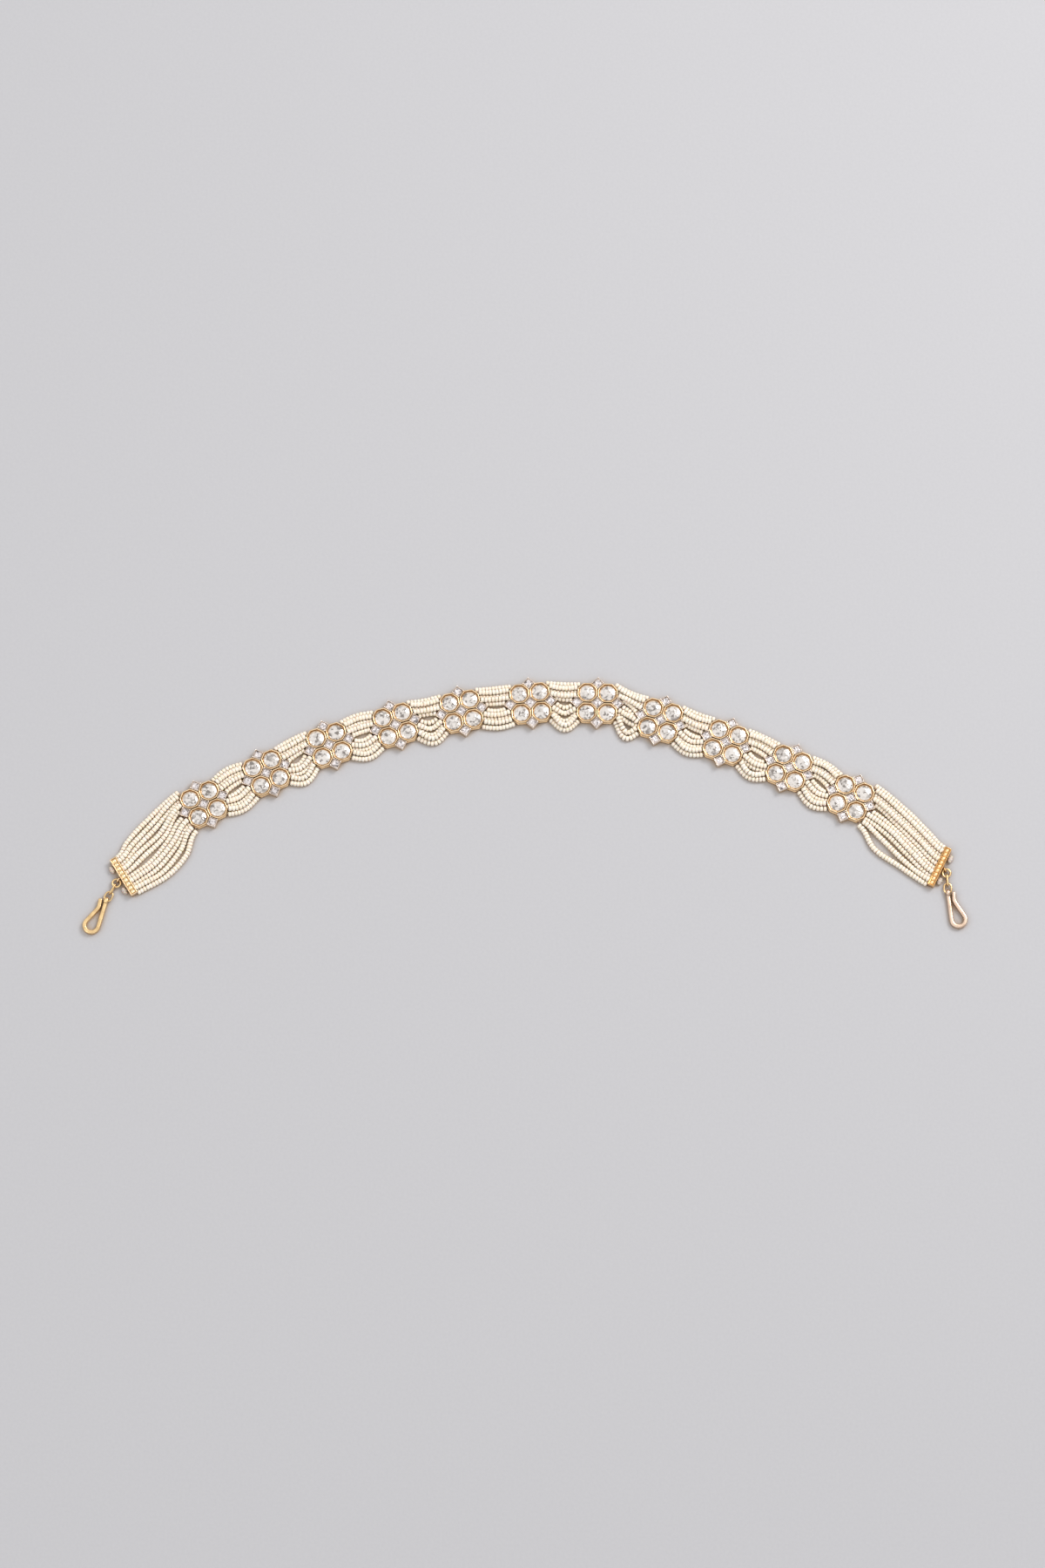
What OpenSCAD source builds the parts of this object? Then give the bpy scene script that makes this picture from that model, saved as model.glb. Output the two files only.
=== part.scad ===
// Matha patti: a bridal head ornament, lying open in an arch on a table.
// Eleven gold plaques, each with four octagonal polki stones and five small
// square stones, are strung on ten strands of seed pearls. The strands fan
// out at both ends to a gold bar with a jump ring, two links and a hook.
// The table is z = 0, and the arch opens towards -Y.

/* [Plaques] */
// Distance between the middles of two neighbouring plaques when laid straight
plaque_pitch = 27.6; // [26:0.1:32]
// Distance between the middles of the octagonal settings on a plaque
octagon_pitch = 8.25; // [7.5:0.05:8.8]
// Gap between the walls of neighbouring octagonal settings
setting_gap = 0.4; // [0.2:0.05:0.8]
// Height of the plaque's base, up to the seat of the stones
base_h = 1.45; // [1.3:0.05:2]
// Height of the octagonal settings' walls above the base
octagon_wall_h = 1.75; // [1.2:0.05:2.4]
// Thickness of the octagonal settings' walls
octagon_wall = 0.5; // [0.3:0.05:0.7]
// Height of the square settings' walls above the base
square_wall_h = 1.5; // [1:0.05:2.2]
// Thickness of the square settings' walls
square_wall = 0.3; // [0.2:0.05:0.5]
// Radius of the corner prongs on the square settings
prong_r = 0.28; // [0.15:0.01:0.35]
// Height of the corner prongs above the square settings' walls
prong_h = 0.3; // [0.1:0.05:0.6]

/* [Stones] */
// Clearance between a stone and its setting's wall
stone_clear = 0.08; // [0.05:0.01:0.2]
// Height of a polki stone
polki_h = 1.6; // [1:0.05:2.2]
// Width of a polki stone's table as a share of the stone
polki_table = 0.6; // [0.4:0.05:0.8]
// Unevenness of a polki stone's table as a share of the stone's radius
polki_uneven = 0.08; // [0:0.01:0.1]
// Height of a small square stone
square_h = 1.45; // [0.9:0.05:2]
// Width of a small square stone's table as a share of the stone
square_table = 0.56; // [0.4:0.02:0.8]

/* [Strands] */
// Diameter of a pearl strand
strand_d = 1.85; // [1.5:0.05:2]
// Diameter of the thread inside the plaques and bars
thread_d = 0.4; // [0.2:0.05:0.5]
// Distance from a plaque's middle line to the first strand of a row
row_inner = 1.4; // [1.2:0.05:1.8]
// Distance between the strands of a row where they enter a plaque
row_step = 1.6; // [1.4:0.05:1.65]
// Space between a strand and the setting where its thread enters
entry_clear = 0.12; // [0.05:0.01:0.3]
// Length over which a strand narrows to its thread
entry_taper = 0.5; // [0.4:0.05:0.8]
// Space between strands that lie over each other
strand_clear = 0.39; // [0.16:0.01:0.5]
// Height of the channels through which the threads pass
channel_h = 0.7; // [0.6:0.05:0.9]
// Thickness of the floor under the channels
channel_floor = 0.35; // [0.2:0.05:0.5]

/* [End bars] */
// Length of an end bar
bar_length = 17.3; // [16.5:0.1:22]
// Width of an end bar
bar_width = 3; // [2.4:0.1:4.5]
// Height of an end bar
bar_h = 3.1; // [2.8:0.1:4]
// Thickness of the bar's raised rim
bar_rim = 0.4; // [0.25:0.05:0.6]
// Depth of the bar's sunk top
bar_sink = 0.5; // [0.2:0.05:0.8]
// Number of studs in the bar's sunk top
studs = 9; // [5:1:10]
// Distance from a bar's middle to the first strand on each side
bar_row_inner = 1.05; // [1.03:0.01:1.3]
// Wall left at each end of a bar beyond the outermost threads
bar_end_wall = 0.64; // [0.4:0.02:1]
// Distance from the middle of a plaque at an end to the middle of its bar
fan_reach = 44.4; // [40:0.2:56]
// How much wider than inside them the strands lie beside the plaques at the ends
fan_flare = 1.14; // [1:0.01:1.16]
// How much wider than inside them the strands lie in front of the bars
bar_flare = 1.1; // [1:0.01:1.12]
// Diameter of a thread knot behind the bar
knot_d = 2.2; // [1.6:0.1:2.6]

/* [Clasps] */
// Height of the middle of the rings, links and eyes above the table
chain_z = 1.35; // [1.3:0.05:1.6]
// Radius of the jump ring at the middle of its wire
ring_r = 1.6; // [1.4:0.05:2.4]
// Diameter of the jump ring's wire
ring_wire = 0.8; // [0.6:0.05:0.85]
// Radius of the bar's eye and of the upright link's ends, at the middle of the wire
eye_r = 0.95; // [0.9:0.05:1]
// Diameter of the wire of the bar's eye and of the links
link_wire = 0.66; // [0.5:0.02:0.7]
// Distance between the middles of the upright link's two ends
link_reach = 2.7; // [2:0.1:5]
// Half the length of the oval link at the middle of its wire
oval_half = 2; // [1.7:0.1:3]
// Radius of the oval link's ends at the middle of its wire
oval_r = 1.45; // [1.2:0.05:1.6]
// Thickness of the hook's flat strip
hook_t = 1.2; // [0.5:0.05:1.3]
// Width of the hook's flat strip, which stands on its edge
hook_w = 1.8; // [1.2:0.1:2.4]
// Length of the hook's straight shank, from the middle of its eye
hook_shank = 11.3; // [8:0.1:14]
// Radius of the hook's bend at the middle of the strip
hook_bend_r = 2.8; // [2.4:0.05:3.2]
// Length of the straight return after the bend
hook_return = 6.7; // [4:0.1:7.2]
// Radius of the neck where the tip turns outwards
hook_neck_r = 2.5; // [1.5:0.1:4]
// Length of the hook's tip
hook_tip = 2.8; // [1:0.1:3]
// Radius of the hook's round eye
hook_eye_r = 1.3; // [1.2:0.05:1.3]
// Radius of the hole in the hook's eye
hook_hole_r = 0.74; // [0.6:0.02:0.76]

/* [Hidden] */
eps = 0.01;
tube_sides = 8;

// The lay of the plaques from left to right. Each row is the step that leads to
// a plaque, as a share of plaque_pitch and a heading in degrees, and the
// plaque's own turn. The first row's step is unused.
SHARE = 0;
HEADING = 1;
TURN = 2;
LAY = [
    [0, 0, 25.2],
    [1.018, 27.6, 24.8],
    [1.007, 24.9, 18.1],
    [1.007, 17.6, 16.3],
    [0.989, 12.3, 10.6],
    [1.014, 7, 5.6],
    [0.975, 0, -2],
    [0.957, -16, -15.9],
    [1.007, -19.3, -18.7],
    [1, -23, -22.3],
    [1, -27.2, -23.7]
];
plaques = len(LAY);
middle_plaque = 6;

// Where the middle plaque lies, so that the origin is in the middle of the whole
middle_at = plaque_pitch * [0.0797, 1.54];

// How far the strands bow out in each gap, from the innermost strand of the row to
// the outermost, as shares of the gap between the plaques
UPPER_BOW = [
    [0.02, 0.04, 0.05, 0.06, 0.1],
    [0.01, -0.01, -0.02, -0.01, 0.03],
    [0.01, 0.02, 0.04, 0.06, 0.07],
    [0.01, -0.02, -0.04, -0.05, -0.04],
    [0, -0.02, -0.03, -0.03, -0.01],
    [-0.02, -0.05, -0.06, -0.05, -0.02],
    [0.05, 0.02, 0, -0.05, -0.06],
    [-0.01, -0.04, -0.06, -0.05, -0.03],
    [0.02, 0.05, 0.05, 0.04, 0.02],
    [0.04, 0.06, 0.05, 0.09, 0.07]
];
LOWER_BOW = [
    [0.03, 0.08, 0.14, 0.15, 0.14],
    [0.11, 0.14, 0.14, 0.22, 0.26],
    [0.08, 0.13, 0.14, 0.17, 0.2],
    [0.08, 0.15, 0.27, 0.28, 0.28],
    [0.05, 0.07, 0.07, 0.07, 0.09],
    [0.09, 0.14, 0.31, 0.34, 0.33],
    [-0.05, -0.02, 0.05, 0.3, 0.37],
    [0.04, 0.11, 0.16, 0.17, 0.16],
    [0.07, 0.09, 0.09, 0.21, 0.2],
    [0.04, 0.1, 0.14, 0.17, 0.2]
];

// The fans at the left and the right end: how far the bar's middle lies, as a share
// of fan_reach, the heading to it, and the direction in which the bar faces away
LEFT = 0;
RIGHT = 1;
FACING = 2;
FANS = [
    [0.982, 223.5, 211.2],
    [1.018, 320.9, 334]
];
// Places of the strands across each fan at a near and a far station, from the
// innermost strand of the row to the outermost, as shares of the bar's length
NEAR_STATION = 0.35;
FAR_STATION = 0.67;
FAN_UPPER = [
    [[-0.03, 0.095, 0.26, 0.395, 0.535], [-0.006, 0.139, 0.266, 0.38, 0.52]],
    [[0.11, 0.2, 0.3, 0.405, 0.51], [0.066, 0.168, 0.26, 0.353, 0.457]]
];
FAN_LOWER = [
    [[-0.156, -0.283, -0.385, -0.53, -0.71], [-0.208, -0.32, -0.438, -0.582, -0.722]],
    [[-0.012, -0.112, -0.222, -0.39, -0.68], [-0.054, -0.168, -0.269, -0.43, -0.6]]
];

// Headings of the jump ring, the upright link, the oval link and the hook's shank
CHAIN = [
    [237, 240, 243, 254.4],
    [301, 274, 271, 276.4]
];
// Side to which each hook bends: -1 clockwise, 1 anticlockwise
HOOK_SIDE = [-1, 1];
// Angle of the hook's return to its shank, and of its tip to its shank
hook_lean = 26.4;
hook_flare = 6.4;
// Places of the thread knots along a bar, as shares of its length
KNOTS = [-0.29, 0.29];

UPPER = 1;
LOWER = -1;
strands_in_row = 5;

half_flat = octagon_pitch * (sqrt(2) - 1) / 2;
square_reach = octagon_pitch / 2 - half_flat;
collet = octagon_pitch - setting_gap;
square_side = octagon_pitch * sqrt(2) - collet - setting_gap;
polki_r = (collet / 2 - octagon_wall - stone_clear) / cos(22.5);
square_stone = square_side - 2 * (square_wall + stone_clear);
strand_r = strand_d / 2;
thread_r = thread_d / 2;
rest_apart = strand_d + strand_clear;
channel_side = 0.2;
channel_in = row_inner - thread_r - channel_side;
channel_out = octagon_pitch - setting_gap / 2 - octagon_wall;
channel_z = channel_floor + channel_h / 2;
bar_channel = bar_length / 2 - bar_end_wall;
bar_row_step = (bar_channel - channel_side - thread_r - bar_row_inner) / (strands_in_row - 1);
fan_steps = 6;
gap_steps = 3;

OCTAGONS = [for (sx = [-1, 1], sy = [-1, 1]) [sx, sy] * octagon_pitch / 2];
SQUARES = octagon_pitch * [[0, 0], [1, 0], [-1, 0], [0, 1], [0, -1]];

SIDES = ["left", "right"];

// Plane geometry
function dir(a) = [cos(a), sin(a)];
function turned(p, a) = [p.x * cos(a) - p.y * sin(a), p.x * sin(a) + p.y * cos(a)];
function with_z(p, z) = [p.x, p.y, z];
function unit(v) = v / norm(v);

// The plaques' places
function walked(k) = k < 2 ? [0, 0]
    : walked(k - 1) + plaque_pitch * LAY[k - 1][SHARE] * dir(LAY[k - 1][HEADING]);
function plaque_at(k) = middle_at + walked(k) - walked(middle_plaque);
function plaque_turn(k) = LAY[k - 1][TURN];
function on_plaque(k, p) = plaque_at(k) + turned(p, plaque_turn(k));

// How far the plaque's side reaches at a distance y from its middle line
function side_x(y) = let (a = abs(y))
    a < square_reach ? octagon_pitch + square_reach - a
    : a < octagon_pitch - square_reach ? octagon_pitch
    : 2 * octagon_pitch - square_reach - a;
function entry_x(y, r) = side_x(max(0, abs(y) - r)) + entry_clear;

// The ends' places: a bar's middle and a point given along and outwards from it
function end_plaque(side) = side == LEFT ? 1 : plaques;
function bar_at(side) = plaque_at(end_plaque(side))
    + fan_reach * FANS[side][SHARE] * dir(FANS[side][HEADING]);
function bar_facing(side) = FANS[side][FACING];
function up_along(side) = side == LEFT ? -90 : 90;
function at_bar(side, out, along) = bar_at(side) + out * dir(bar_facing(side))
    + along * dir(bar_facing(side) + up_along(side));

// A strand's distance from the middle line at the plaques and at the bars
function row_y(row, i) = row * (row_inner + i * row_step);
function bar_y(row, i) = row * (bar_row_inner + i * bar_row_step);
function thread_y(row, i) = row * min(abs(row_y(row, i)), channel_out - thread_r - stone_clear);

// Every second strand of a row lies on the table, and the others lie in the
// grooves between them, as high as the room between the strands asks
function lift(apart) = sqrt(max(0, rest_apart * rest_apart - apart * apart));
function to_stretch(p, a, b) =
    let (t = (p - a) * (b - a) / ((b - a) * (b - a))) norm(p - a - max(0, min(1, t)) * (b - a));
function to_line(p, line) = min([for (j = [1 : len(line) - 1]) to_stretch(p, line[j - 1], line[j])]);
// A strand's line in plan, carried straight on at both ends in the given headings
function carried(line, from, to) = concat(
    [line[0] - strand_d * dir(from)], line, [line[len(line) - 1] + strand_d * dir(to)]);

// Points across a gap between two plaques
function gap_end(k, row, i, facing) =
    on_plaque(k, [facing * (entry_x(row_y(row, i), strand_r) + entry_taper), row_y(row, i)]);
function gap_bow(k, row, i) =
    (plaque_pitch - 2 * octagon_pitch) * (row == UPPER ? UPPER_BOW : LOWER_BOW)[k - 1][i];
function gap_up(k) = dir((plaque_turn(k) + plaque_turn(k + 1)) / 2 + 90);
function gap_flat(k, row, i, t) =
    let (a = gap_end(k, row, i, 1), b = gap_end(k + 1, row, i, -1))
    a + (b - a) * t + row * gap_bow(k, row, i) * sin(180 * t) * gap_up(k);
function gap_line(k, row, i) = carried(
    [for (q = [0 : gap_steps]) gap_flat(k, row, i, q / gap_steps)], plaque_turn(k), plaque_turn(k + 1));
function gap_point(k, row, i, t) =
    let (p = gap_flat(k, row, i, t))
    with_z(p, strand_r + (i % 2 == 0 ? 0
        : lift(min(to_line(p, gap_line(k, row, i - 1)), to_line(p, gap_line(k, row, i + 1))))));

// Points along a fan, from the plaque to the bar
function fan_way(side) = side == LEFT ? 180 : 0;
function fan_start(side, row, i) =
    on_plaque(end_plaque(side), [
        (side == LEFT ? -1 : 1) * (entry_x(row_y(row, i), strand_r) + entry_taper),
        fan_flare * row_y(row, i)
    ]);
function fan_finish(side, row, i) =
    at_bar(side, -bar_width / 2 - entry_clear - entry_taper, bar_flare * bar_y(row, i));
function fan_foot(side) =
    on_plaque(end_plaque(side), [(side == LEFT ? -1 : 1) * octagon_pitch, 0]);
function fan_heading(side) = let (v = bar_at(side) - fan_foot(side)) atan2(v.y, v.x);
function fan_up(side) = dir(fan_heading(side) + up_along(side));
function fan_place(side, row, i, far) =
    let (places = (row == UPPER ? FAN_UPPER : FAN_LOWER)[side][far],
         t = far == 1 ? FAR_STATION : NEAR_STATION)
    fan_foot(side) + (bar_at(side) - fan_foot(side)) * t
        + bar_length * places[i] * fan_up(side);
function fan_knots(side, row, i) =
    let (a = fan_start(side, row, i), b = fan_place(side, row, i, 0),
         c = fan_place(side, row, i, 1), d = fan_finish(side, row, i),
         out = dir(plaque_turn(end_plaque(side)) + fan_way(side)),
         reach = norm(d - a) / 3)
    [b - 2 * reach * unit(out + unit(b - a)), a, b, c, d,
        c + 2 * reach * unit(dir(bar_facing(side)) + unit(d - c))];
function on_curve(p, j, t) = 0.5 * (
    2 * p[j + 1]
    + (p[j + 2] - p[j]) * t
    + (2 * p[j] - 5 * p[j + 1] + 4 * p[j + 2] - p[j + 3]) * t * t
    + (3 * p[j + 1] - p[j] - 3 * p[j + 2] + p[j + 3]) * t * t * t);
function fan_flat(side, row, i, t) =
    let (j = min(2, floor(t * 3))) on_curve(fan_knots(side, row, i), j, t * 3 - j);
function fan_line(side, row, i) = carried(
    [for (q = [0 : fan_steps]) fan_flat(side, row, i, q / fan_steps)],
    plaque_turn(end_plaque(side)) + fan_way(side), bar_facing(side));
function fan_point(side, row, i, t) =
    let (p = fan_flat(side, row, i, t))
    with_z(p, strand_r + (i % 2 == 0 ? 0
        : lift(min(to_line(p, fan_line(side, row, i - 1)), to_line(p, fan_line(side, row, i + 1))))));

// A strand's rings from the left bar to the right bar: each is a middle, a radius
// and a heading, and stands upright across the heading
function gap_heading(k, t) = plaque_turn(k) + (plaque_turn(k + 1) - plaque_turn(k)) * t;
function gap_ring(k, row, i, t) = [gap_point(k, row, i, t), strand_r, gap_heading(k, t)];
function fan_ring(side, row, i, t) =
    let (near = 0.02, d = fan_flat(side, row, i, min(1, t + near)) - fan_flat(side, row, i, max(0, t - near)))
    [fan_point(side, row, i, t), strand_r,
        t == 0 ? plaque_turn(end_plaque(side))
        : (t == 1 ? bar_facing(side) : atan2(d.y, d.x)) - fan_way(side)];
function entry_ring(k, row, i, facing) = [
    with_z(on_plaque(k, [facing * entry_x(thread_y(row, i), thread_r), thread_y(row, i)]), channel_z),
    thread_r, plaque_turn(k)
];
function bar_ring(side, row, i, out) =
    [with_z(at_bar(side, out, bar_y(row, i)), channel_z), thread_r, bar_facing(side) - fan_way(side)];
function bar_rings(side, row, i) =
    [bar_ring(side, row, i, 0), bar_ring(side, row, i, -bar_width / 2 - entry_clear)];
function fan_rings(side, row, i) = concat(
    [for (q = [0 : fan_steps]) fan_ring(side, row, i, q / fan_steps)],
    backwards(bar_rings(side, row, i)));
function strand_rings(row, i) = concat(
    backwards(fan_rings(LEFT, row, i)),
    [
        for (k = [1 : plaques])
        each concat(
            [entry_ring(k, row, i, -1), entry_ring(k, row, i, 1)],
            k == plaques ? [] : [for (q = [0 : gap_steps]) gap_ring(k, row, i, q / gap_steps)]
        )
    ],
    fan_rings(RIGHT, row, i)
);

// A tube with flat sides through such rings
function backwards(v) = [for (j = [len(v) - 1 : -1 : 0]) v[j]];
function tube_ring(ring) =
    let (r = ring[1] / cos(180 / tube_sides), u = with_z(dir(ring[2] + 90), 0))
    [for (s = [0 : tube_sides - 1])
        let (a = (s + 0.5) * 360 / tube_sides) ring[0] + r * (cos(a) * u + [0, 0, sin(a)])];
module stacked(layers) {
    n = len(layers[0]);
    top = (len(layers) - 1) * n;
    polyhedron(
        points = [for (layer = layers) each layer],
        faces = concat(
            [[for (s = [0 : n - 1]) s]],
            [[for (s = [0 : n - 1]) top + n - 1 - s]],
            [
                for (j = [0 : len(layers) - 2], s = [0 : n - 1])
                let (a = j * n + s, b = j * n + (s + 1) % n)
                each [[a, a + n, b + n], [a, b + n, b]]
            ]
        )
    );
}

// Flat outlines: an octagon by its width, and a square on its corner
module octagon(flats) rotate(22.5) circle(r = flats / 2 / cos(22.5), $fn = 8);
module diamond(side) rotate(45) square(side, center = true);

// The octagons and squares touch, and the base fills them
module plaque_base() {
    difference() {
        linear_extrude(base_h) {
            for (at = OCTAGONS) translate(at) octagon(octagon_pitch + eps);
            for (at = SQUARES) translate(at) diamond(2 * square_reach / sqrt(2));
        }
        for (row = [UPPER, LOWER])
            translate([-2 * octagon_pitch, row == UPPER ? channel_in : -channel_out, channel_floor])
                cube([4 * octagon_pitch, channel_out - channel_in, channel_h]);
    }
}

module octagon_setting() {
    linear_extrude(octagon_wall_h) difference() {
        octagon(collet);
        octagon(collet - 2 * octagon_wall);
    }
}

module square_setting() {
    linear_extrude(square_wall_h) difference() {
        diamond(square_side);
        diamond(square_side - 2 * square_wall);
    }
    for (q = [0 : 3])
        rotate(q * 90) translate([square_side / sqrt(2) - prong_r, 0, 0])
            cylinder(h = square_wall_h + prong_h, r = prong_r, $fn = 24);
}

module plaque(k) {
    color([0.86, 0.66, 0.4])
    translate(with_z(plaque_at(k), 0)) rotate(plaque_turn(k)) {
        plaque_base();
        translate([0, 0, base_h - eps]) {
            for (at = OCTAGONS) translate(at) octagon_setting();
            for (at = SQUARES) translate(at) square_setting();
        }
    }
}

// An uneven flat-topped stone with eight sides
module polki_stone(seed) {
    wobble = rands(-polki_uneven, polki_uneven, 10, seed);
    bed = [for (s = [0 : 7]) with_z(polki_r * 0.94 * dir(22.5 + 45 * s), 0)];
    girdle = [for (s = [0 : 7]) with_z(polki_r * dir(22.5 + 45 * s), polki_h * 0.4)];
    table = [for (s = [0 : 7]) with_z(polki_r * (
        (polki_table + wobble[s]) * dir(22.5 + 45 * s) + [wobble[8], wobble[9]]), polki_h)];
    stacked([bed, girdle, table]);
}

module square_stone() {
    r = square_stone / sqrt(2);
    stacked([
        for (layer = [[0.7, 0], [1, square_h * 0.5], [square_table, square_h]])
            [for (s = [0 : 3]) with_z(r * layer[0] * dir(90 * s), layer[1])]
    ]);
}

module polki_stones(k) {
    color([0.9, 0.9, 0.92])
    translate(with_z(plaque_at(k), base_h)) rotate(plaque_turn(k))
        for (q = [0 : 3]) translate(OCTAGONS[q]) polki_stone(10 * k + q);
}

module square_stones(k) {
    color([0.94, 0.93, 0.97])
    translate(with_z(plaque_at(k), base_h)) rotate(plaque_turn(k))
        for (at = SQUARES) translate(at) square_stone();
}

module strand(row, i) {
    color([0.94, 0.9, 0.83]) stacked([for (ring = strand_rings(row, i)) tube_ring(ring)]);
}

// The bar faces +X here, and the strands come from -X
module bar_body() {
    stud_room = bar_length - 2 * bar_rim;
    stud_pitch = stud_room / studs;
    stud_side = min(bar_width - 2 * bar_rim, stud_pitch) * 0.78;
    difference() {
        translate([-bar_width / 2, -bar_length / 2, 0]) cube([bar_width, bar_length, bar_h]);
        translate([bar_rim - bar_width / 2, bar_rim - bar_length / 2, bar_h - bar_sink])
            cube([bar_width - 2 * bar_rim, bar_length - 2 * bar_rim, bar_h]);
        translate([-bar_width, -bar_channel, channel_floor])
            cube([2 * bar_width, 2 * bar_channel, channel_h]);
    }
    for (q = [0 : studs - 1])
        translate([0, (q + 0.5) * stud_pitch - stud_room / 2, bar_h - bar_sink - eps])
            linear_extrude(bar_sink * 0.8) square(stud_side, center = true);
}

module end_bar(side) {
    color([0.87, 0.68, 0.38])
    translate(with_z(bar_at(side), 0)) rotate(bar_facing(side)) {
        bar_body();
        translate([bar_eye_out(side), 0, chain_z]) rotate([90, 0, bar_eye_turn(side)])
            rotate_extrude($fn = 48) translate([eye_r, 0]) circle(d = link_wire, $fn = 24);
    }
}

module thread_knots(side) {
    color([0.9, 0.88, 0.86])
    for (place = KNOTS)
        translate(with_z(at_bar(side, bar_width / 2 + knot_d / 2, bar_length * place), knot_d / 2))
            sphere(d = knot_d, $fn = 24);
}

// Where the rings, links and hooks lie: each hangs on the wire of the one before
function bar_eye_turn(side) = CHAIN[side][0] - bar_facing(side);
function bar_eye_out(side) = bar_width / 2 + eye_r * cos(bar_eye_turn(side));
function bar_eye_at(side) = at_bar(side, bar_eye_out(side), 0);
function ring_at(side) = bar_eye_at(side) + ring_r * dir(CHAIN[side][0]);
function link_from(side) = ring_at(side) + ring_r * dir(CHAIN[side][1]);
function link_to(side) = link_from(side) + link_reach * dir(CHAIN[side][1]);
function oval_at(side) = link_to(side) + oval_half * dir(CHAIN[side][2]);
function hook_at(side) = oval_at(side) + oval_half * dir(CHAIN[side][2]);

module jump_ring(side) {
    color([0.88, 0.68, 0.42])
    translate(with_z(ring_at(side), chain_z))
        rotate_extrude($fn = 48) translate([ring_r, 0]) circle(d = ring_wire, $fn = 24);
}

// A link along X: two half rings of radius r, reach apart, joined by two wires
module long_link(r, reach) {
    for (way = [-1, 1]) {
        translate([way * reach / 2, 0, 0]) rotate(way * 90 + 180)
            rotate_extrude(angle = 180, $fn = 48) translate([r, 0]) circle(d = link_wire, $fn = 24);
        translate([-reach / 2, way * r, 0]) rotate([0, 90, 0])
            cylinder(h = reach, d = link_wire, $fn = 24);
    }
}

module upright_link(side) {
    color([0.88, 0.68, 0.42])
    translate(with_z((link_from(side) + link_to(side)) / 2, chain_z))
        rotate(CHAIN[side][1]) rotate([90, 0, 0]) long_link(eye_r, link_reach);
}

module oval_link(side) {
    color([0.88, 0.68, 0.42])
    translate(with_z(oval_at(side), chain_z))
        rotate(CHAIN[side][2]) long_link(oval_r, 2 * (oval_half - oval_r));
}

// The hook's strip: its middle line as points, and the strip's outline round it
function arc(c, r, from, to, steps) =
    [for (q = [0 : steps]) c + r * dir(from + (to - from) * q / steps)];
function hook_line() =
    let (back = 180 + hook_lean,
         bend_c = [hook_shank, hook_bend_r],
         bend = arc(bend_c, hook_bend_r, -90, back - 90, 24),
         neck_from = bend[24] + hook_return * dir(back),
         neck_c = neck_from + hook_neck_r * dir(back - 90),
         neck = arc(neck_c, hook_neck_r, back + 90, 270 - hook_flare, 8))
    concat([[hook_eye_r - hook_t / 2, 0]], bend, neck, [neck[8] + hook_tip * dir(180 - hook_flare)]);
function side_line(line, off) = [
    for (j = [0 : len(line) - 1])
    let (v = line[min(j + 1, len(line) - 1)] - line[max(j - 1, 0)])
    line[j] + off * turned(unit(v), 90)
];

module hook(side) {
    line = hook_line();
    color(side == LEFT ? [0.88, 0.69, 0.4] : [0.88, 0.68, 0.5])
    translate(with_z(hook_at(side), 0)) rotate(CHAIN[side][3]) scale([1, HOOK_SIDE[side], 1])
    difference() {
        union() {
            linear_extrude(hook_w)
                polygon(concat(side_line(line, hook_t / 2), backwards(side_line(line, -hook_t / 2))));
            translate([0, 0, chain_z]) rotate([90, 0, 0])
                cylinder(h = hook_t, r = hook_eye_r, center = true, $fn = 48);
        }
        translate([0, 0, chain_z]) rotate([90, 0, 0])
            cylinder(h = 2 * hook_t, r = hook_hole_r, center = true, $fn = 48);
    }
}

for (k = [1 : plaques]) {
    plaque(k);
    polki_stones(k);
    square_stones(k);
}
for (i = [1 : strands_in_row]) {
    strand(UPPER, i - 1);
    strand(LOWER, i - 1);
}
for (side = [LEFT, RIGHT]) {
    end_bar(side);
    thread_knots(side);
    jump_ring(side);
    upright_link(side);
    oval_link(side);
    hook(side);
}
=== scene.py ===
"""A bridal head ornament lying open in an arch: gold plaques on strands of seed pearls."""

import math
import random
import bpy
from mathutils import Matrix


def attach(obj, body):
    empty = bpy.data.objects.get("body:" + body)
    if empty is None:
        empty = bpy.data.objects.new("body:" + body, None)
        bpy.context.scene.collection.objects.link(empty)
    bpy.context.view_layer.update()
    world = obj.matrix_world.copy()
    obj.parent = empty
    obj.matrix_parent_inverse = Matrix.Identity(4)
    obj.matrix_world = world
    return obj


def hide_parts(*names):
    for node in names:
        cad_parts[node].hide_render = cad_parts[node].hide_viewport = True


bl_info = {
    "name": "Matha Patti",
    "version": (1, 0, 0),
    "blender": (4, 5, 0),
    "location": "View3D > Sidebar > Ornament",
    "description": "Dresses the packed head ornament with gold, stones and seed pearls",
    "category": "Object",
}

import bmesh
import bpy
from bpy.props import FloatProperty, FloatVectorProperty, IntProperty, PointerProperty
from mathutils import Matrix, Vector

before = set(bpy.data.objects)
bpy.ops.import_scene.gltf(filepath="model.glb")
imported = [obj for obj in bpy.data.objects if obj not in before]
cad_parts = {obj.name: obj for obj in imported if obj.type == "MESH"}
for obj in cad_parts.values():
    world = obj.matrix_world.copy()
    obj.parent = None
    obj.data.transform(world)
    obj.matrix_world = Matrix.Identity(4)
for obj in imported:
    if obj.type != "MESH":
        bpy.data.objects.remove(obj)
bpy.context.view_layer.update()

MM = 0.001
SIDES = ("left", "right")
LEFT, RIGHT = 0, 1
UPPER, LOWER = 1, -1
ROWS = (("upper", UPPER), ("lower", LOWER))
STRANDS = 5

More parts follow.
